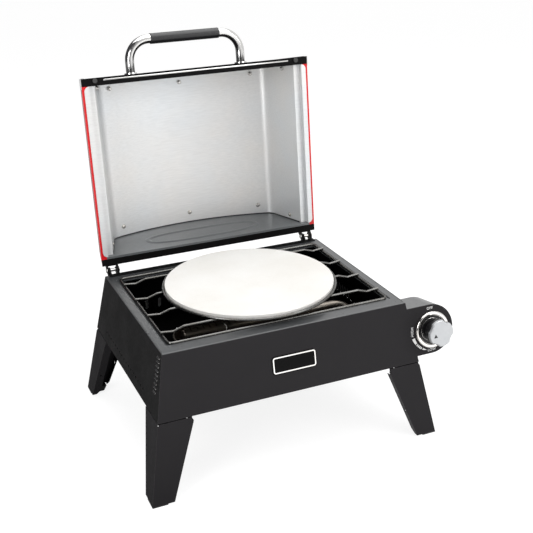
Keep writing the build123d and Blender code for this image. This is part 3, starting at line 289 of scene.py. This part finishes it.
def raised(tree, skin, height, depth, under=None):
    """Bump of that depth in metres. Returns the normal, for another bump on top."""
    node = tree.nodes.new("ShaderNodeBump")
    node.inputs["Distance"].default_value = depth
    node.inputs["Strength"].default_value = 1.0
    tree.links.new(height, node.inputs["Height"])
    if under is not None:
        tree.links.new(under, node.inputs["Normal"])
    tree.links.new(node.outputs["Normal"], skin.inputs["Normal"])
    return node.outputs["Normal"]


def worn_edges(tree):
    """A share that rises from 0 on the outer edges of sheet metal."""
    soft = tree.nodes.new("ShaderNodeBevel")
    soft.samples = 6
    soft.inputs["Radius"].default_value = edge_radius
    sharp = tree.nodes.new("ShaderNodeNewGeometry")
    meet = tree.nodes.new("ShaderNodeVectorMath")
    meet.operation = "DOT_PRODUCT"
    tree.links.new(soft.outputs["Normal"], meet.inputs[0])
    tree.links.new(sharp.outputs["Normal"], meet.inputs[1])
    return spread(tree, meet.outputs["Value"], edge_share, 0.0, start=0.80, end=0.995)


def enamel(name, colour, worn, rough, grain=900.0, depth=0.00004, coat=0.0, shine=0.5):
    """Powder coat or enamel on sheet metal: orange peel, uneven gloss and paler edges."""
    material, tree, skin = new_material(name, colour, rough)
    skin.inputs["Specular IOR Level"].default_value = shine
    skin.inputs["Coat Weight"].default_value = coat
    skin.inputs["Coat Roughness"].default_value = coat_roughness
    cloud = noise(tree, scale=18.0, detail=4.0)
    fine = noise(tree, scale=160.0, offset=(3, 1, 2))
    tone = mixed(tree, spread(tree, cloud, 0.0, 0.5), colour, worn)
    pale = [2.2 * c + 0.006 for c in worn]
    tree.links.new(mixed(tree, worn_edges(tree), tone, pale), skin.inputs["Base Color"])
    uneven = spread(tree, cloud, -0.05, 0.05)
    gloss = added(tree, uneven, spread(tree, fine, rough - 0.03, rough + 0.03))
    tree.links.new(gloss, skin.inputs["Roughness"])
    raised(tree, skin, noise(tree, scale=grain, detail=2.0), depth)
    return material


def steel(name, colour, warm, rough, stretch=(1, 1, 1), grain=260.0, depth=0.00003, blotch=14.0, metal=1.0):
    """Bare metal with brushed or rolled grain along the axis that stretch shortens."""
    material, tree, skin = new_material(name, colour, rough, metal)
    cloud = noise(tree, scale=blotch)
    lines = noise(tree, scale=grain, detail=4.0, stretch=stretch)
    tone = mixed(tree, spread(tree, cloud, 0.0, 1.0), colour, warm)
    grained = mixed(tree, spread(tree, lines, 0.0, 0.10), tone, (0.2, 0.2, 0.2))
    tree.links.new(grained, skin.inputs["Base Color"])
    uneven = spread(tree, cloud, -0.03, 0.04)
    gloss = added(tree, uneven, spread(tree, lines, rough - 0.05, rough + 0.05))
    tree.links.new(gloss, skin.inputs["Roughness"])
    raised(tree, skin, lines, depth)
    return material


def moulded(name, colour, rough, grain=1400.0, depth=0.00006):
    """Moulded plastic, rubber or glaze with a fine grain."""
    material, tree, skin = new_material(name, colour, rough)
    cloud = noise(tree, scale=60.0)
    pale = [1.35 * c for c in colour]
    tone = mixed(tree, spread(tree, cloud, 0.0, 1.0), colour, pale)
    tree.links.new(tone, skin.inputs["Base Color"])
    tree.links.new(spread(tree, cloud, rough - 0.05, rough + 0.06), skin.inputs["Roughness"])
    raised(tree, skin, noise(tree, scale=grain, detail=2.0), depth)
    return material


def knob_finish(name):
    """Silver front disc, with a fine satin grain, on a black moulded neck."""
    material, tree, skin = new_material(name, disc_silver, 0.34, 0.5)
    place = tree.nodes.new("ShaderNodeTexCoord")
    reach = tree.nodes.new("ShaderNodeVectorMath")
    reach.operation = "DOT_PRODUCT"
    reach.inputs[1].default_value = face_out
    tree.links.new(place.outputs["Object"], reach.inputs[0])
    disc_back = knob_centre.dot(face_out) + knob_silver_back
    front = spread(tree, reach.outputs["Value"], 0.0, 1.0, start=disc_back - disc_blend, end=disc_back)
    cloud = noise(tree, scale=60.0)
    fine = noise(tree, scale=1500.0, detail=2.0)
    silver = mixed(tree, spread(tree, cloud, 0.0, 1.0), disc_silver, (0.54, 0.55, 0.56))
    tree.links.new(mixed(tree, front, neck_black, silver), skin.inputs["Base Color"])
    tree.links.new(spread(tree, front, 0.0, 0.5, start=0.0, end=1.0), skin.inputs["Metallic"])
    tree.links.new(spread(tree, cloud, 0.30, 0.38), skin.inputs["Roughness"])
    raised(tree, skin, fine, 0.00001)
    return material


def fired_stone(name):
    """Baking stone: pale fired clay with pores, fine grit and faint toasting."""
    material, tree, skin = new_material(name, (0.65, 0.64, 0.62), 0.8)
    cloud = noise(tree, scale=9.0, detail=4.0)
    grit = noise(tree, scale=900.0)
    pores = tree.nodes.new("ShaderNodeTexVoronoi")
    pores.inputs["Scale"].default_value = 420.0
    place = tree.nodes.new("ShaderNodeTexCoord")
    tree.links.new(place.outputs["Object"], pores.inputs["Vector"])
    toasting = spread(tree, cloud, 0.0, 0.8, start=0.35, end=0.75)
    specks = spread(tree, grit, 0.35, 0.0, start=0.25, end=0.42)
    clay = mixed(tree, toasting, (0.69, 0.682, 0.66), (0.61, 0.59, 0.55))
    tree.links.new(mixed(tree, specks, clay, (0.38, 0.35, 0.31)), skin.inputs["Base Color"])
    tree.links.new(spread(tree, cloud, 0.72, 0.88), skin.inputs["Roughness"])
    pitted = raised(tree, skin, spread(tree, pores.outputs["Distance"], 0.0, 1.0, 0.05, 0.35), 0.00012)
    raised(tree, skin, grit, 0.00008, pitted)
    return material


def print_ink(name, colour):
    """Printed marks: flat ink, faintly uneven."""
    material, tree, skin = new_material(name, colour, 0.55)
    cloud = noise(tree, scale=700.0, detail=2.0)
    thin = [0.6 * c for c in colour]
    tree.links.new(mixed(tree, spread(tree, cloud, 0.0, 0.35), colour, thin), skin.inputs["Base Color"])
    return material


def make_materials():
    """The finish of each material slot of the record, and those of the lid's inner ends and the prints."""
    finishes = (
        enamel("black_enamel", (0.0032, 0.0030, 0.0032), (0.006, 0.006, 0.006), 0.42, shine=0.07),
        enamel("charcoal_enamel", (0.0200, 0.0188, 0.0204), (0.024, 0.0226, 0.0242), 0.50, shine=0.10),
        enamel("grey_enamel", (0.030, 0.032, 0.034), (0.046, 0.049, 0.051), 0.32, coat=0.30, shine=1.0),
        enamel("red_enamel", (0.61, 0.007, 0.011), (0.52, 0.005, 0.008), 0.28,
               grain=260.0, depth=0.00003, coat=0.15, shine=0.3),
        steel("liner_steel", (0.73, 0.75, 0.765), (0.79, 0.77, 0.745), 0.42,
              stretch=(0.08, 1, 1), grain=420.0, depth=0.00001, blotch=6.0, metal=0.62),
        steel("trim_steel", (0.72, 0.72, 0.72), (0.70, 0.69, 0.67), 0.14,
              stretch=(0.05, 1, 1), grain=700.0, depth=0.000006),
        steel("burner_steel", (0.20, 0.185, 0.165), (0.26, 0.215, 0.165), 0.40,
              stretch=(0.06, 1, 1), grain=500.0, blotch=22.0),
        steel("steel_pins", (0.62, 0.62, 0.62), (0.60, 0.57, 0.52), 0.24),
        steel("rack_chrome", (0.17, 0.17, 0.165), (0.12, 0.115, 0.105), 0.26,
              grain=320.0, depth=0.00002, blotch=30.0),
        steel("chrome", (0.88, 0.87, 0.855), (0.84, 0.81, 0.77), 0.10, grain=90.0, depth=0.0),
        knob_finish("knob_silver"),
        moulded("black_plastic", (0.011, 0.011, 0.012), 0.32),
        moulded("pad_plastic", (0.016, 0.016, 0.016), 0.62),
        moulded("rubber", (0.030, 0.030, 0.030), 0.72),
        steel("brass", (0.66, 0.49, 0.22), (0.58, 0.40, 0.18), 0.28),
        moulded("ceramic", (0.78, 0.77, 0.73), 0.20, grain=300.0, depth=0.00001),
        fired_stone("stone"),
        enamel("panel_enamel", (0.066, 0.072, 0.076), (0.085, 0.091, 0.094), 0.36, shine=0.9),
        print_ink("white_ink", (0.86, 0.86, 0.85)),
        print_ink("black_ink", (0.008, 0.008, 0.008)),
    )
    return {plain_name(finish): finish for finish in finishes}


def plain_name(material):
    """A material's name without the number that it ends in where two share a name."""
    return material.name.split(".")[0]


def dress_nodes(made):
    """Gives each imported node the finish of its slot, and the lid's end panels a greyer enamel."""
    for name, node in frame["nodes"].items():
        inside = name in ("lid_inner_front", "lid_inner_back")
        slots = node.data.materials
        for place, old in enumerate(slots):
            slots[place] = made["panel_enamel" if inside else plain_name(old)]


def mesh_piece(name, mesh, body, material):
    """A finished bmesh as an object that rides on a body."""
    data = bpy.data.meshes.new(name)
    mesh.normal_update()
    bmesh.ops.recalc_face_normals(mesh, faces=mesh.faces)
    mesh.to_mesh(data)
    mesh.free()
    data.materials.append(material)
    piece = bpy.data.objects.new(name, data)
    scene.collection.objects.link(piece)
    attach(piece, body)
    return piece


def rounded(piece, angle=35.0):
    """Smooth shading except across sharp edges."""
    data = piece.data
    limit = radians(angle)
    data.shade_smooth()
    work = bmesh.new()
    work.from_mesh(data)
    for edge in work.edges:
        if len(edge.link_faces) == 2:
            edge.smooth = edge.calc_face_angle(0.0) < limit
    work.to_mesh(data)
    work.free()
    return piece


def circle(radius, steps):
    """Points of a circle, anticlockwise from the right."""
    angles = [2 * pi * k / steps for k in range(steps)]
    return [(radius * cos(angle), radius * sin(angle)) for angle in angles]


def lofted(mesh, rings, ends="face"):
    """Adds the faces between rings of corners, and returns them. Where the ends meet, the last ring joins
    the first. An end is a face, or a strip where the section is a bent strip itself, or stays open."""
    sides = []
    following = rings[1:] + (rings[:1] if ends == "meet" else [])
    count = len(rings[0])
    for lower, upper in zip(rings, following):
        for k in range(count):
            after = (k + 1) % count
            sides.append(mesh.faces.new((lower[k], lower[after], upper[after], upper[k])))
    if ends == "face":
        mesh.faces.new(rings[0][::-1])
        mesh.faces.new(rings[-1])
    if ends == "strip":
        for ring in (rings[0], rings[-1]):
            for k in range(count // 2 - 1):
                mesh.faces.new((ring[k], ring[k + 1], ring[count - 2 - k], ring[count - 1 - k]))
    return sides


def turned(mesh, profile, place, steps):
    """Adds a solid of revolution from points of radius and height, the first and the last on the axis."""
    rings = [
        [mesh.verts.new(place @ Vector((x, y, height))) for x, y in circle(radius, steps if radius else 1)]
        for radius, height in profile
    ]
    lofted(mesh, rings[1:-1], "open")
    for k in range(steps):
        after = (k + 1) % steps
        mesh.faces.new((rings[0][0], rings[1][after], rings[1][k]))
        mesh.faces.new((rings[-2][k], rings[-2][after], rings[-1][0]))


def slab(mesh, outline, low, high, place, edge=0.0):
    """Adds a plate over an outline, from low to high. Its edge is a chamfer round the top."""
    levels = [(low, 0.0), (high - edge, 0.0), (high, edge)] if edge else [(low, 0.0), (high, 0.0)]
    rings = []
    for height, inset in levels:
        ring = []
        for k, here in enumerate(outline):
            course = (Vector(outline[(k + 1) % len(outline)]) - Vector(outline[k - 1])).normalized()
            point = Vector(here) + inset * Vector((-course.y, course.x))
            ring.append(mesh.verts.new(place @ Vector((point.x, point.y, height))))
        rings.append(ring)
    lofted(mesh, rings)


def facing(origin, out, y_way):
    """A place whose z points out and whose y points along y_way."""
    z = out.normalized()
    x = y_way.cross(z).normalized()
    y = z.cross(x)
    return Matrix.Translation(origin) @ Matrix((x, y, z)).transposed().to_4x4()


def on_front(across, above, out=0.0):
    """A place on the front face, measured from the knob's centre."""
    return facing(knob_centre + right * across + face_up * above + face_out * out, face_out, face_up)


def surface(node):
    """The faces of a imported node, to seat small pieces on."""
    data = frame["nodes"][node].data
    corners = [vertex.co for vertex in data.vertices]
    return BVHTree.FromPolygons(corners, [tuple(face.vertices) for face in data.polygons])


def met(faces, start, towards):
    """The point where a line first meets faces, and the way out of the face there."""
    spot, out, _, _ = faces.ray_cast(start, towards)
    return spot, -out if out.dot(towards) > 0 else out


def dome_head(mesh, place):
    """Adds a pan head with a small recess, standing on a washer."""
    foot = [(0, -seat), (washer_radius, -seat), (washer_radius, washer_rise), (screw_radius, head_foot)]
    head = [(reach * screw_radius, height * screw_rise) for reach, height in pan_head]
    turned(mesh, foot + head, place, screw_steps)


def hex_nut(mesh, place):
    """Adds an acorn nut: six flats, then a dome."""
    corner = nut_across / 2 / cos(pi / 6)
    slab(mesh, circle(corner, 6), -seat, nut_flats * nut_rise, place, nut_chamfer)
    turned(mesh, [(reach * nut_across, height * nut_rise) for reach, height in acorn], place, nut_steps)


def liner_fixings(made):
    """The fixings that hold the liner to the lid: screws at the back, acorn nuts at the front."""
    screws = bmesh.new()
    nuts = bmesh.new()
    liner = surface("lid_liner")

    def on_liner(x, y, towards):
        """A place on the liner for a fixing that stands square on it."""
        spot, out = met(liner, lid_opened @ Vector((x, y, fixing_z)), lid_way @ towards)
        return facing(spot, out, right if abs(out.x) < 0.7 else back)

    for x, y in end_screws:
        dome_head(screws, on_liner(x, y, up))
    for x, y in end_nuts:
        hex_nut(nuts, on_liner(x, y, up))
    for towards in (-right, right):
        dome_head(screws, on_liner(0, side_screw_y, towards))
        hex_nut(nuts, on_liner(0, side_nut_y, towards))
    rounded(mesh_piece("liner_screws", screws, "lid", made["steel_pins"]))
    rounded(mesh_piece("liner_nuts", nuts, "lid", made["steel_pins"]))


def lid_bead(made):
    """The half-round bead along the front bar, between the bumpers; its bright steel is a painted highlight
    of the bar's rolled edge.
    """
    mesh = bmesh.new()
    full = bead_half - bead_taper
    angles = [pi * k / bead_steps for k in range(bead_steps + 1)]
    rings = []
    for x, share in ((-bead_half, bead_tip), (-full, 1.0), (full, 1.0), (bead_half, bead_tip)):
        section = [
            (bead_y + share * bead_width / 2 * cos(angle), bead_base - share * bead_rise * sin(angle))
            for angle in angles
        ]
        rings.append([mesh.verts.new(lid_opened @ Vector((x, y, z))) for y, z in section])
    lofted(mesh, rings)
    # Bright trim steel: a painted highlight on the black bar's edge.
    rounded(mesh_piece("lid_bead", mesh, "lid", made["trim_steel"]))


def band(mesh, points, out, profile, closed):
    """Adds a strip along a line of points. Its profile is of points across the line and out of the face."""
    count = len(points)
    rings = []
    for k, point in enumerate(points):
        before = points[k - 1] if closed or k > 0 else point
        after = points[(k + 1) % count] if closed or k + 1 < count else point
        place = facing(point, out, after - before)
        rings.append([mesh.verts.new(place @ Vector((across, 0, above))) for across, above in profile])
    lofted(mesh, rings, "meet" if closed else "face")


def bent(share, power):
    """A sine or cosine with its sign kept and its size raised to a power."""
    return copysign(abs(share) ** power, share)


def back_panel(made):
    """The pressed oval rib of the lid's back panel, and a black tube round that panel: a painted shadow of
    the gap where it meets the liner.
    """
    panel_out = lid_way @ Vector((0, -1, -panel_lean)).normalized()
    panel = surface("lid_inner_back")
    oval = []
    for cosine, sine in circle(1, rib_steps):
        x = rib_half_x * bent(cosine, rib_bend_x)
        z = rib_middle_z + rib_half_z * bent(sine, rib_bend_z)
        oval.append(met(panel, lid_opened @ Vector((x, rib_start_y, z)), lid_way @ back)[0])
    rib = bmesh.new()
    profile = [(across * rib_half, above * rib_rise) for across, above in rib_profile]
    band(rib, oval, panel_out, profile, closed=True)
    rounded(mesh_piece("back_panel_rib", rib, "lid", made["panel_enamel"]), angle=60)

    # The black tube along the liner round the panel is a painted shadow of the gap between them.
    liner = surface("lid_liner")
    arch = []
    for k in range(shadow_line_steps + 1):
        angle = radians(shadow_line_start + shadow_line_sweep * k / shadow_line_steps)
        towards = lid_way @ Vector((cos(angle), -panel_lean * sin(angle), sin(angle))).normalized()
        arch.append(met(liner, lid_opened @ panel_foot, towards)[0] - shadow_line_inset * towards)
    shadow_line = bmesh.new()
    band(shadow_line, arch, panel_out, circle(shadow_line_radius, shadow_line_sides), closed=False)
    rounded(mesh_piece("back_panel_shadow_line", shadow_line, "lid", made["black_plastic"]), angle=60)


def hood_arch(half, rise, sunk):
    """Points of a low arch from its right foot to its left foot."""
    angles = [pi * k / hood_steps for k in range(hood_steps + 1)]
    return [(half * cos(angle), rise * sin(angle) ** hood_bend - sunk) for angle in angles]


def vent_hoods(made):
    """Pressed hoods over the slots of the back wall, closed above and open below, with bright insides."""
    wall = surface("body_shell")
    mesh = bmesh.new()
    around = 2 * (hood_steps + 1)
    middles = [side * (vent_first + k * vent_pitch) for side in (-1, 1) for k in range(vent_count)]
    for x in middles:
        spot, out = met(wall, Vector((x + vent_beside, behind_wall, vent_z)), -back)
        place = facing(spot - vent_beside * right, out, up)
        rings = []
        for height, half, rise in hood_levels:
            inner = hood_arch(hood_inner_width * half, hood_inner_rise * rise, 2 * seat)
            section = hood_arch(half, rise, seat) + inner[::-1]
            points = [Vector((across, height, above)) for across, above in section]
            rings.append([mesh.verts.new(place @ point) for point in points])
        for k, face in enumerate(lofted(mesh, rings, "strip")):
            face.material_index = 1 if k % around > hood_steps else 0
    hoods = rounded(mesh_piece("vent_hoods", mesh, "base", made["black_enamel"]), angle=50)
    hoods.data.materials.append(made["liner_steel"])


def wall_louvres(made):
    """Blades of the louvres at the front of both side walls, open below. Their bright steel is a painted
    highlight.
    """
    wall = surface("body_shell")
    mesh = bmesh.new()
    tip = blade_half - blade_corner_x
    nip = blade_corner_y - blade_reach
    outline = [
        (-tip, -blade_reach), (tip, -blade_reach), (blade_half, nip),
        (blade_half, 0), (-blade_half, 0), (-blade_half, nip),
    ]
    fold = Matrix.Translation(Vector((0, blade_fold - louvre_pitch / 2, -seat)))
    fold = fold @ Matrix.Rotation(radians(-louvre_open), 4, "X")
    for side in (-1, 1):
        for k in range(louvre_count):
            z = louvre_middle_z + louvre_pitch * (k - louvre_count // 2) + louvre_pitch / 2
            spot, out = met(wall, Vector((side * beside_wall, louvre_y, z)), -side * right)
            slab(mesh, outline, 0.0, blade_sheet, facing(spot, out, up) @ fold, blade_chamfer)
    # Bright steel on the blades: a painted highlight where black enamelled blades would catch the overhead
    # light.
    rounded(mesh_piece("wall_louvres", mesh, "base", made["steel_pins"]))


def skirt_side(inset):
    """One side of a turned-down edge: an arm along x, a small slant and an arm along y."""
    slant = skirt_corner + inset / 2
    return [
        (skirt_end_x, skirt_y - inset), (skirt_x - slant, skirt_y - inset),
        (skirt_x - inset, skirt_y - slant), (skirt_x - inset, skirt_end_y),
    ]


def leg_skirts(made):
    """The turned-down edge of the tub behind the gap over each leg."""
    mesh = bmesh.new()
    outline = skirt_side(0.0) + skirt_side(skirt_sheet)[::-1]
    for x_side, y_side in ((-1, -1), (-1, 1), (1, -1), (1, 1)):
        rings = [
            [mesh.verts.new((x_side * x, y_side * y, height)) for x, y in outline]
            for height in (skirt_low, skirt_high)
        ]
        lofted(mesh, rings, "strip")
    rounded(mesh_piece("leg_skirts", mesh, "base", made["black_enamel"]))


def turned_knob(made):
    """The knob, turned about its axis until its lobes stand as in the photograph."""
    data = frame["nodes"]["knob"].data.copy()
    turn = Matrix.Translation(knob_centre) @ Matrix.Rotation(radians(knob_lobes_turn), 4, face_out)
    data.transform(turn @ Matrix.Translation(-knob_centre))
    data.materials.clear()
    data.materials.append(made["knob_silver"])
    piece = bpy.data.objects.new("knob_turned", data)
    scene.collection.objects.link(piece)
    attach(piece, "knob")
    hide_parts("knob")


def plate_outline(inset):
    """The plate's outline, moved in by the inset, anticlockwise from the top right corner."""
    points = []
    for k, (x, y) in enumerate(((1, 1), (-1, 1), (-1, -1), (1, -1))):
        centre = Vector((x * (plate_width / 2 - plate_corner), y * (plate_height / 2 - plate_corner)))
        for step in range(plate_corner_steps + 1):
            angle = pi / 2 * (k + step / plate_corner_steps)
            points.append(tuple(centre + (plate_corner - inset) * Vector((cos(angle), sin(angle)))))
    return points


def front_plate(made):
    """A bare plate on the front, with a bright border."""
    place = on_front(*plate_from_knob)
    plate = bmesh.new()
    slab(plate, plate_outline(0.0), -seat, plate_thick, place, plate_chamfer)
    rounded(mesh_piece("front_plate", plate, "base", made["black_enamel"]))

    border = bmesh.new()
    outer = plate_outline(border_inset)
    inner = plate_outline(border_inset + border_width)
    low = plate_thick - seat
    high = plate_thick + border_rise
    rings = [
        [border.verts.new(place @ Vector((x, y, height))) for x, y in outline]
        for outline, height in ((outer, low), (outer, high), (inner, high), (inner, low))
    ]
    lofted(border, rings, "meet")
    rounded(mesh_piece("front_plate_border", border, "base", made["chrome"]))


def word(name, text, angle, turn, ink):
    """A generic word of the knob's scale, at an angle round the knob."""
    data = bpy.data.curves.new(name, "FONT")
    data.body = text
    data.size = letter_height / letter_share
    data.extrude = letter_thick
    data.align_x = "CENTER"
    data.align_y = "CENTER"
    data.space_character = letter_spacing
    data.materials.append(ink)
    piece = bpy.data.objects.new(name, data)
    scene.collection.objects.link(piece)
    middle = Vector((cos(radians(angle)), sin(radians(angle)))) * letter_radius
    upright = on_front(middle.x, middle.y, letter_thick)
    piece.matrix_world = upright @ Matrix.Rotation(radians(turn), 4, "Z")
    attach(piece, "base")


def arc_mark(mesh, start, end, width_start, width_end, steps=8):
    """Adds a printed arc whose width changes along it."""
    outline = []
    for side in (1, -1):
        for k in range(steps + 1):
            share = k / steps if side > 0 else 1 - k / steps
            angle = radians(start + (end - start) * share)
            width = width_start + (width_end - width_start) * share
            reach = letter_radius + side * width / 2
            outline.append((reach * cos(angle), reach * sin(angle)))
    slab(mesh, outline, -level_seat, 2 * letter_thick, on_front(0, 0))


def level_mark(made):
    """The fading mark from high to low: an arc, dashes and a thin tail."""
    mesh = bmesh.new()
    arc_mark(mesh, *level_arc)
    for start in level_dashes:
        arc_mark(mesh, start, start + dash_sweep, dash_width, dash_width, steps=2)
    arc_mark(mesh, *level_tail)
    mesh_piece("level_mark", mesh, "base", made["white_ink"])


def dial_ring(made):
    """The bright ring on the dial, with ticks inside it."""
    mesh = bmesh.new()
    place = on_front(0, 0, ring_above)
    section = circle(ring_wire, ring_sides)
    rings = []
    for cosine, sine in circle(1, ring_steps):
        points = [Vector(((ring_radius + x) * cosine, (ring_radius + x) * sine, z)) for x, z in section]
        rings.append([mesh.verts.new(place @ point) for point in points])
    lofted(mesh, rings, "meet")
    ends = ((tick_inner, -1), (ring_radius, -1), (ring_radius, 1), (tick_inner, 1))
    tick = [(reach, side * tick_half) for reach, side in ends]
    for angle in tick_angles:
        turn = Matrix.Rotation(radians(angle), 4, "Z")
        slab(mesh, tick, -mark_seat, mark_rise, place @ turn)
    rounded(mesh_piece("dial_ring", mesh, "base", made["chrome"]))


def knob_marker(made):
    """The printed triangle on the knob's front."""
    knob = frame["nodes"]["knob"].data
    knob_rise = max((vertex.co - knob_centre).dot(face_out) for vertex in knob.vertices)
    mesh = bmesh.new()
    slab(mesh, marker_outline, -mark_seat, mark_rise, on_front(*marker_place, knob_rise))
    mesh_piece("knob_marker", mesh, "knob", made["black_ink"])


def make_camera():
    """The camera at the photograph's place."""
    data = bpy.data.cameras.new("camera")
    data.lens = focal_length
    data.sensor_width = sensor_width
    data.clip_start = nearest
    data.clip_end = farthest
    camera = bpy.data.objects.new("camera", data)
    turn = Matrix((camera_right, -camera_down, -camera_ahead)).transposed().to_4x4()
    camera.matrix_world = Matrix.Translation(camera_place) @ turn
    scene.collection.objects.link(camera)
    scene.camera = camera


def soft_light(name, place, aim, width, height, power):
    """A rectangular studio light that faces its aim."""
    data = bpy.data.lights.new(name, "AREA")
    data.shape = "RECTANGLE"
    data.size = width
    data.size_y = height
    data.energy = power
    light = bpy.data.objects.new(name, data)
    light.location = place
    light.rotation_euler = (Vector(aim) - Vector(place)).to_track_quat("-Z", "Y").to_euler()
    scene.collection.objects.link(light)


def split(tree, output):
    """The x, y and z of a place, as sockets."""
    place = tree.nodes.new("ShaderNodeTexCoord")
    parts = tree.nodes.new("ShaderNodeSeparateXYZ")
    tree.links.new(place.outputs[output], parts.inputs["Vector"])
    return parts.outputs


def make_floor():
    """A pale floor, even to the camera. On the oven it shines most from the right and the front."""
    corners = [(x * floor_half, y * floor_half, 0) for x, y in ((-1, -1), (1, -1), (1, 1), (-1, 1))]
    data = bpy.data.meshes.new("floor")
    data.from_pydata(corners, [], [(0, 1, 2, 3)])
    material, tree, skin = new_material("floor_paint", (0.25, 0.25, 0.25), 0.9)
    skin.inputs["Specular IOR Level"].default_value = 0.1
    skin.inputs["Emission Color"].default_value = (1, 1, 1, 1)
    ways = split(tree, "Object")
    to_right = spread(tree, ways["X"], 0.04, 0.70, start=-0.30, end=0.25)
    to_front = spread(tree, ways["Y"], 0.55, 0.0, start=-0.75, end=-0.35)
    glow = tree.nodes.new("ShaderNodeMix")
    seen = tree.nodes.new("ShaderNodeLightPath")
    tree.links.new(seen.outputs["Is Camera Ray"], glow.inputs[0])
    tree.links.new(added(tree, to_right, to_front), glow.inputs[2])
    glow.inputs[3].default_value = floor_glow
    tree.links.new(glow.outputs[0], skin.inputs["Emission Strength"])
    data.materials.append(material)
    floor = bpy.data.objects.new("floor", data)
    scene.collection.objects.link(floor)


def make_surroundings():
    """White to the camera, and for the oven to reflect a pale room that is dark to the left."""
    world = bpy.data.worlds.new("studio")
    world.use_nodes = True
    tree = world.node_tree
    side = spread(tree, split(tree, "Generated")["X"], 0.0, 1.0, start=-0.30, end=0.30)
    seen = tree.nodes.new("ShaderNodeLightPath")
    room = mixed(tree, side, dark_side, bright_side)
    tone = mixed(tree, seen.outputs["Is Camera Ray"], room, (1.0, 1.0, 1.0))
    sky = tree.nodes["Background"]
    tree.links.new(tone, sky.inputs["Color"])
    sky.inputs["Strength"].default_value = 1.0
    scene.world = world
    scene.view_settings.view_transform = "Standard"


made = make_materials()
dress_nodes(made)
make_camera()
make_floor()
make_surroundings()
soft_light("overhead", place=(0.2, 0.1, 2.4), aim=(0, 0, 0.2), width=2.6, height=2.2, power=50)
soft_light("key", place=(1.5, -1.8, 1.5), aim=(0, 0, 0.3), width=1.0, height=1.0, power=12)
soft_light("window", place=(-1.15, -0.75, 0.95), aim=(0.15, 0.3, 0.45), width=0.6, height=0.9, power=11)
liner_fixings(made)
lid_bead(made)
back_panel(made)
vent_hoods(made)
wall_louvres(made)
leg_skirts(made)
turned_knob(made)
front_plate(made)
for name, text, angle, turn in scale_words:
    word(name, text, angle, turn, made["white_ink"])
level_mark(made)
dial_ring(made)
knob_marker(made)
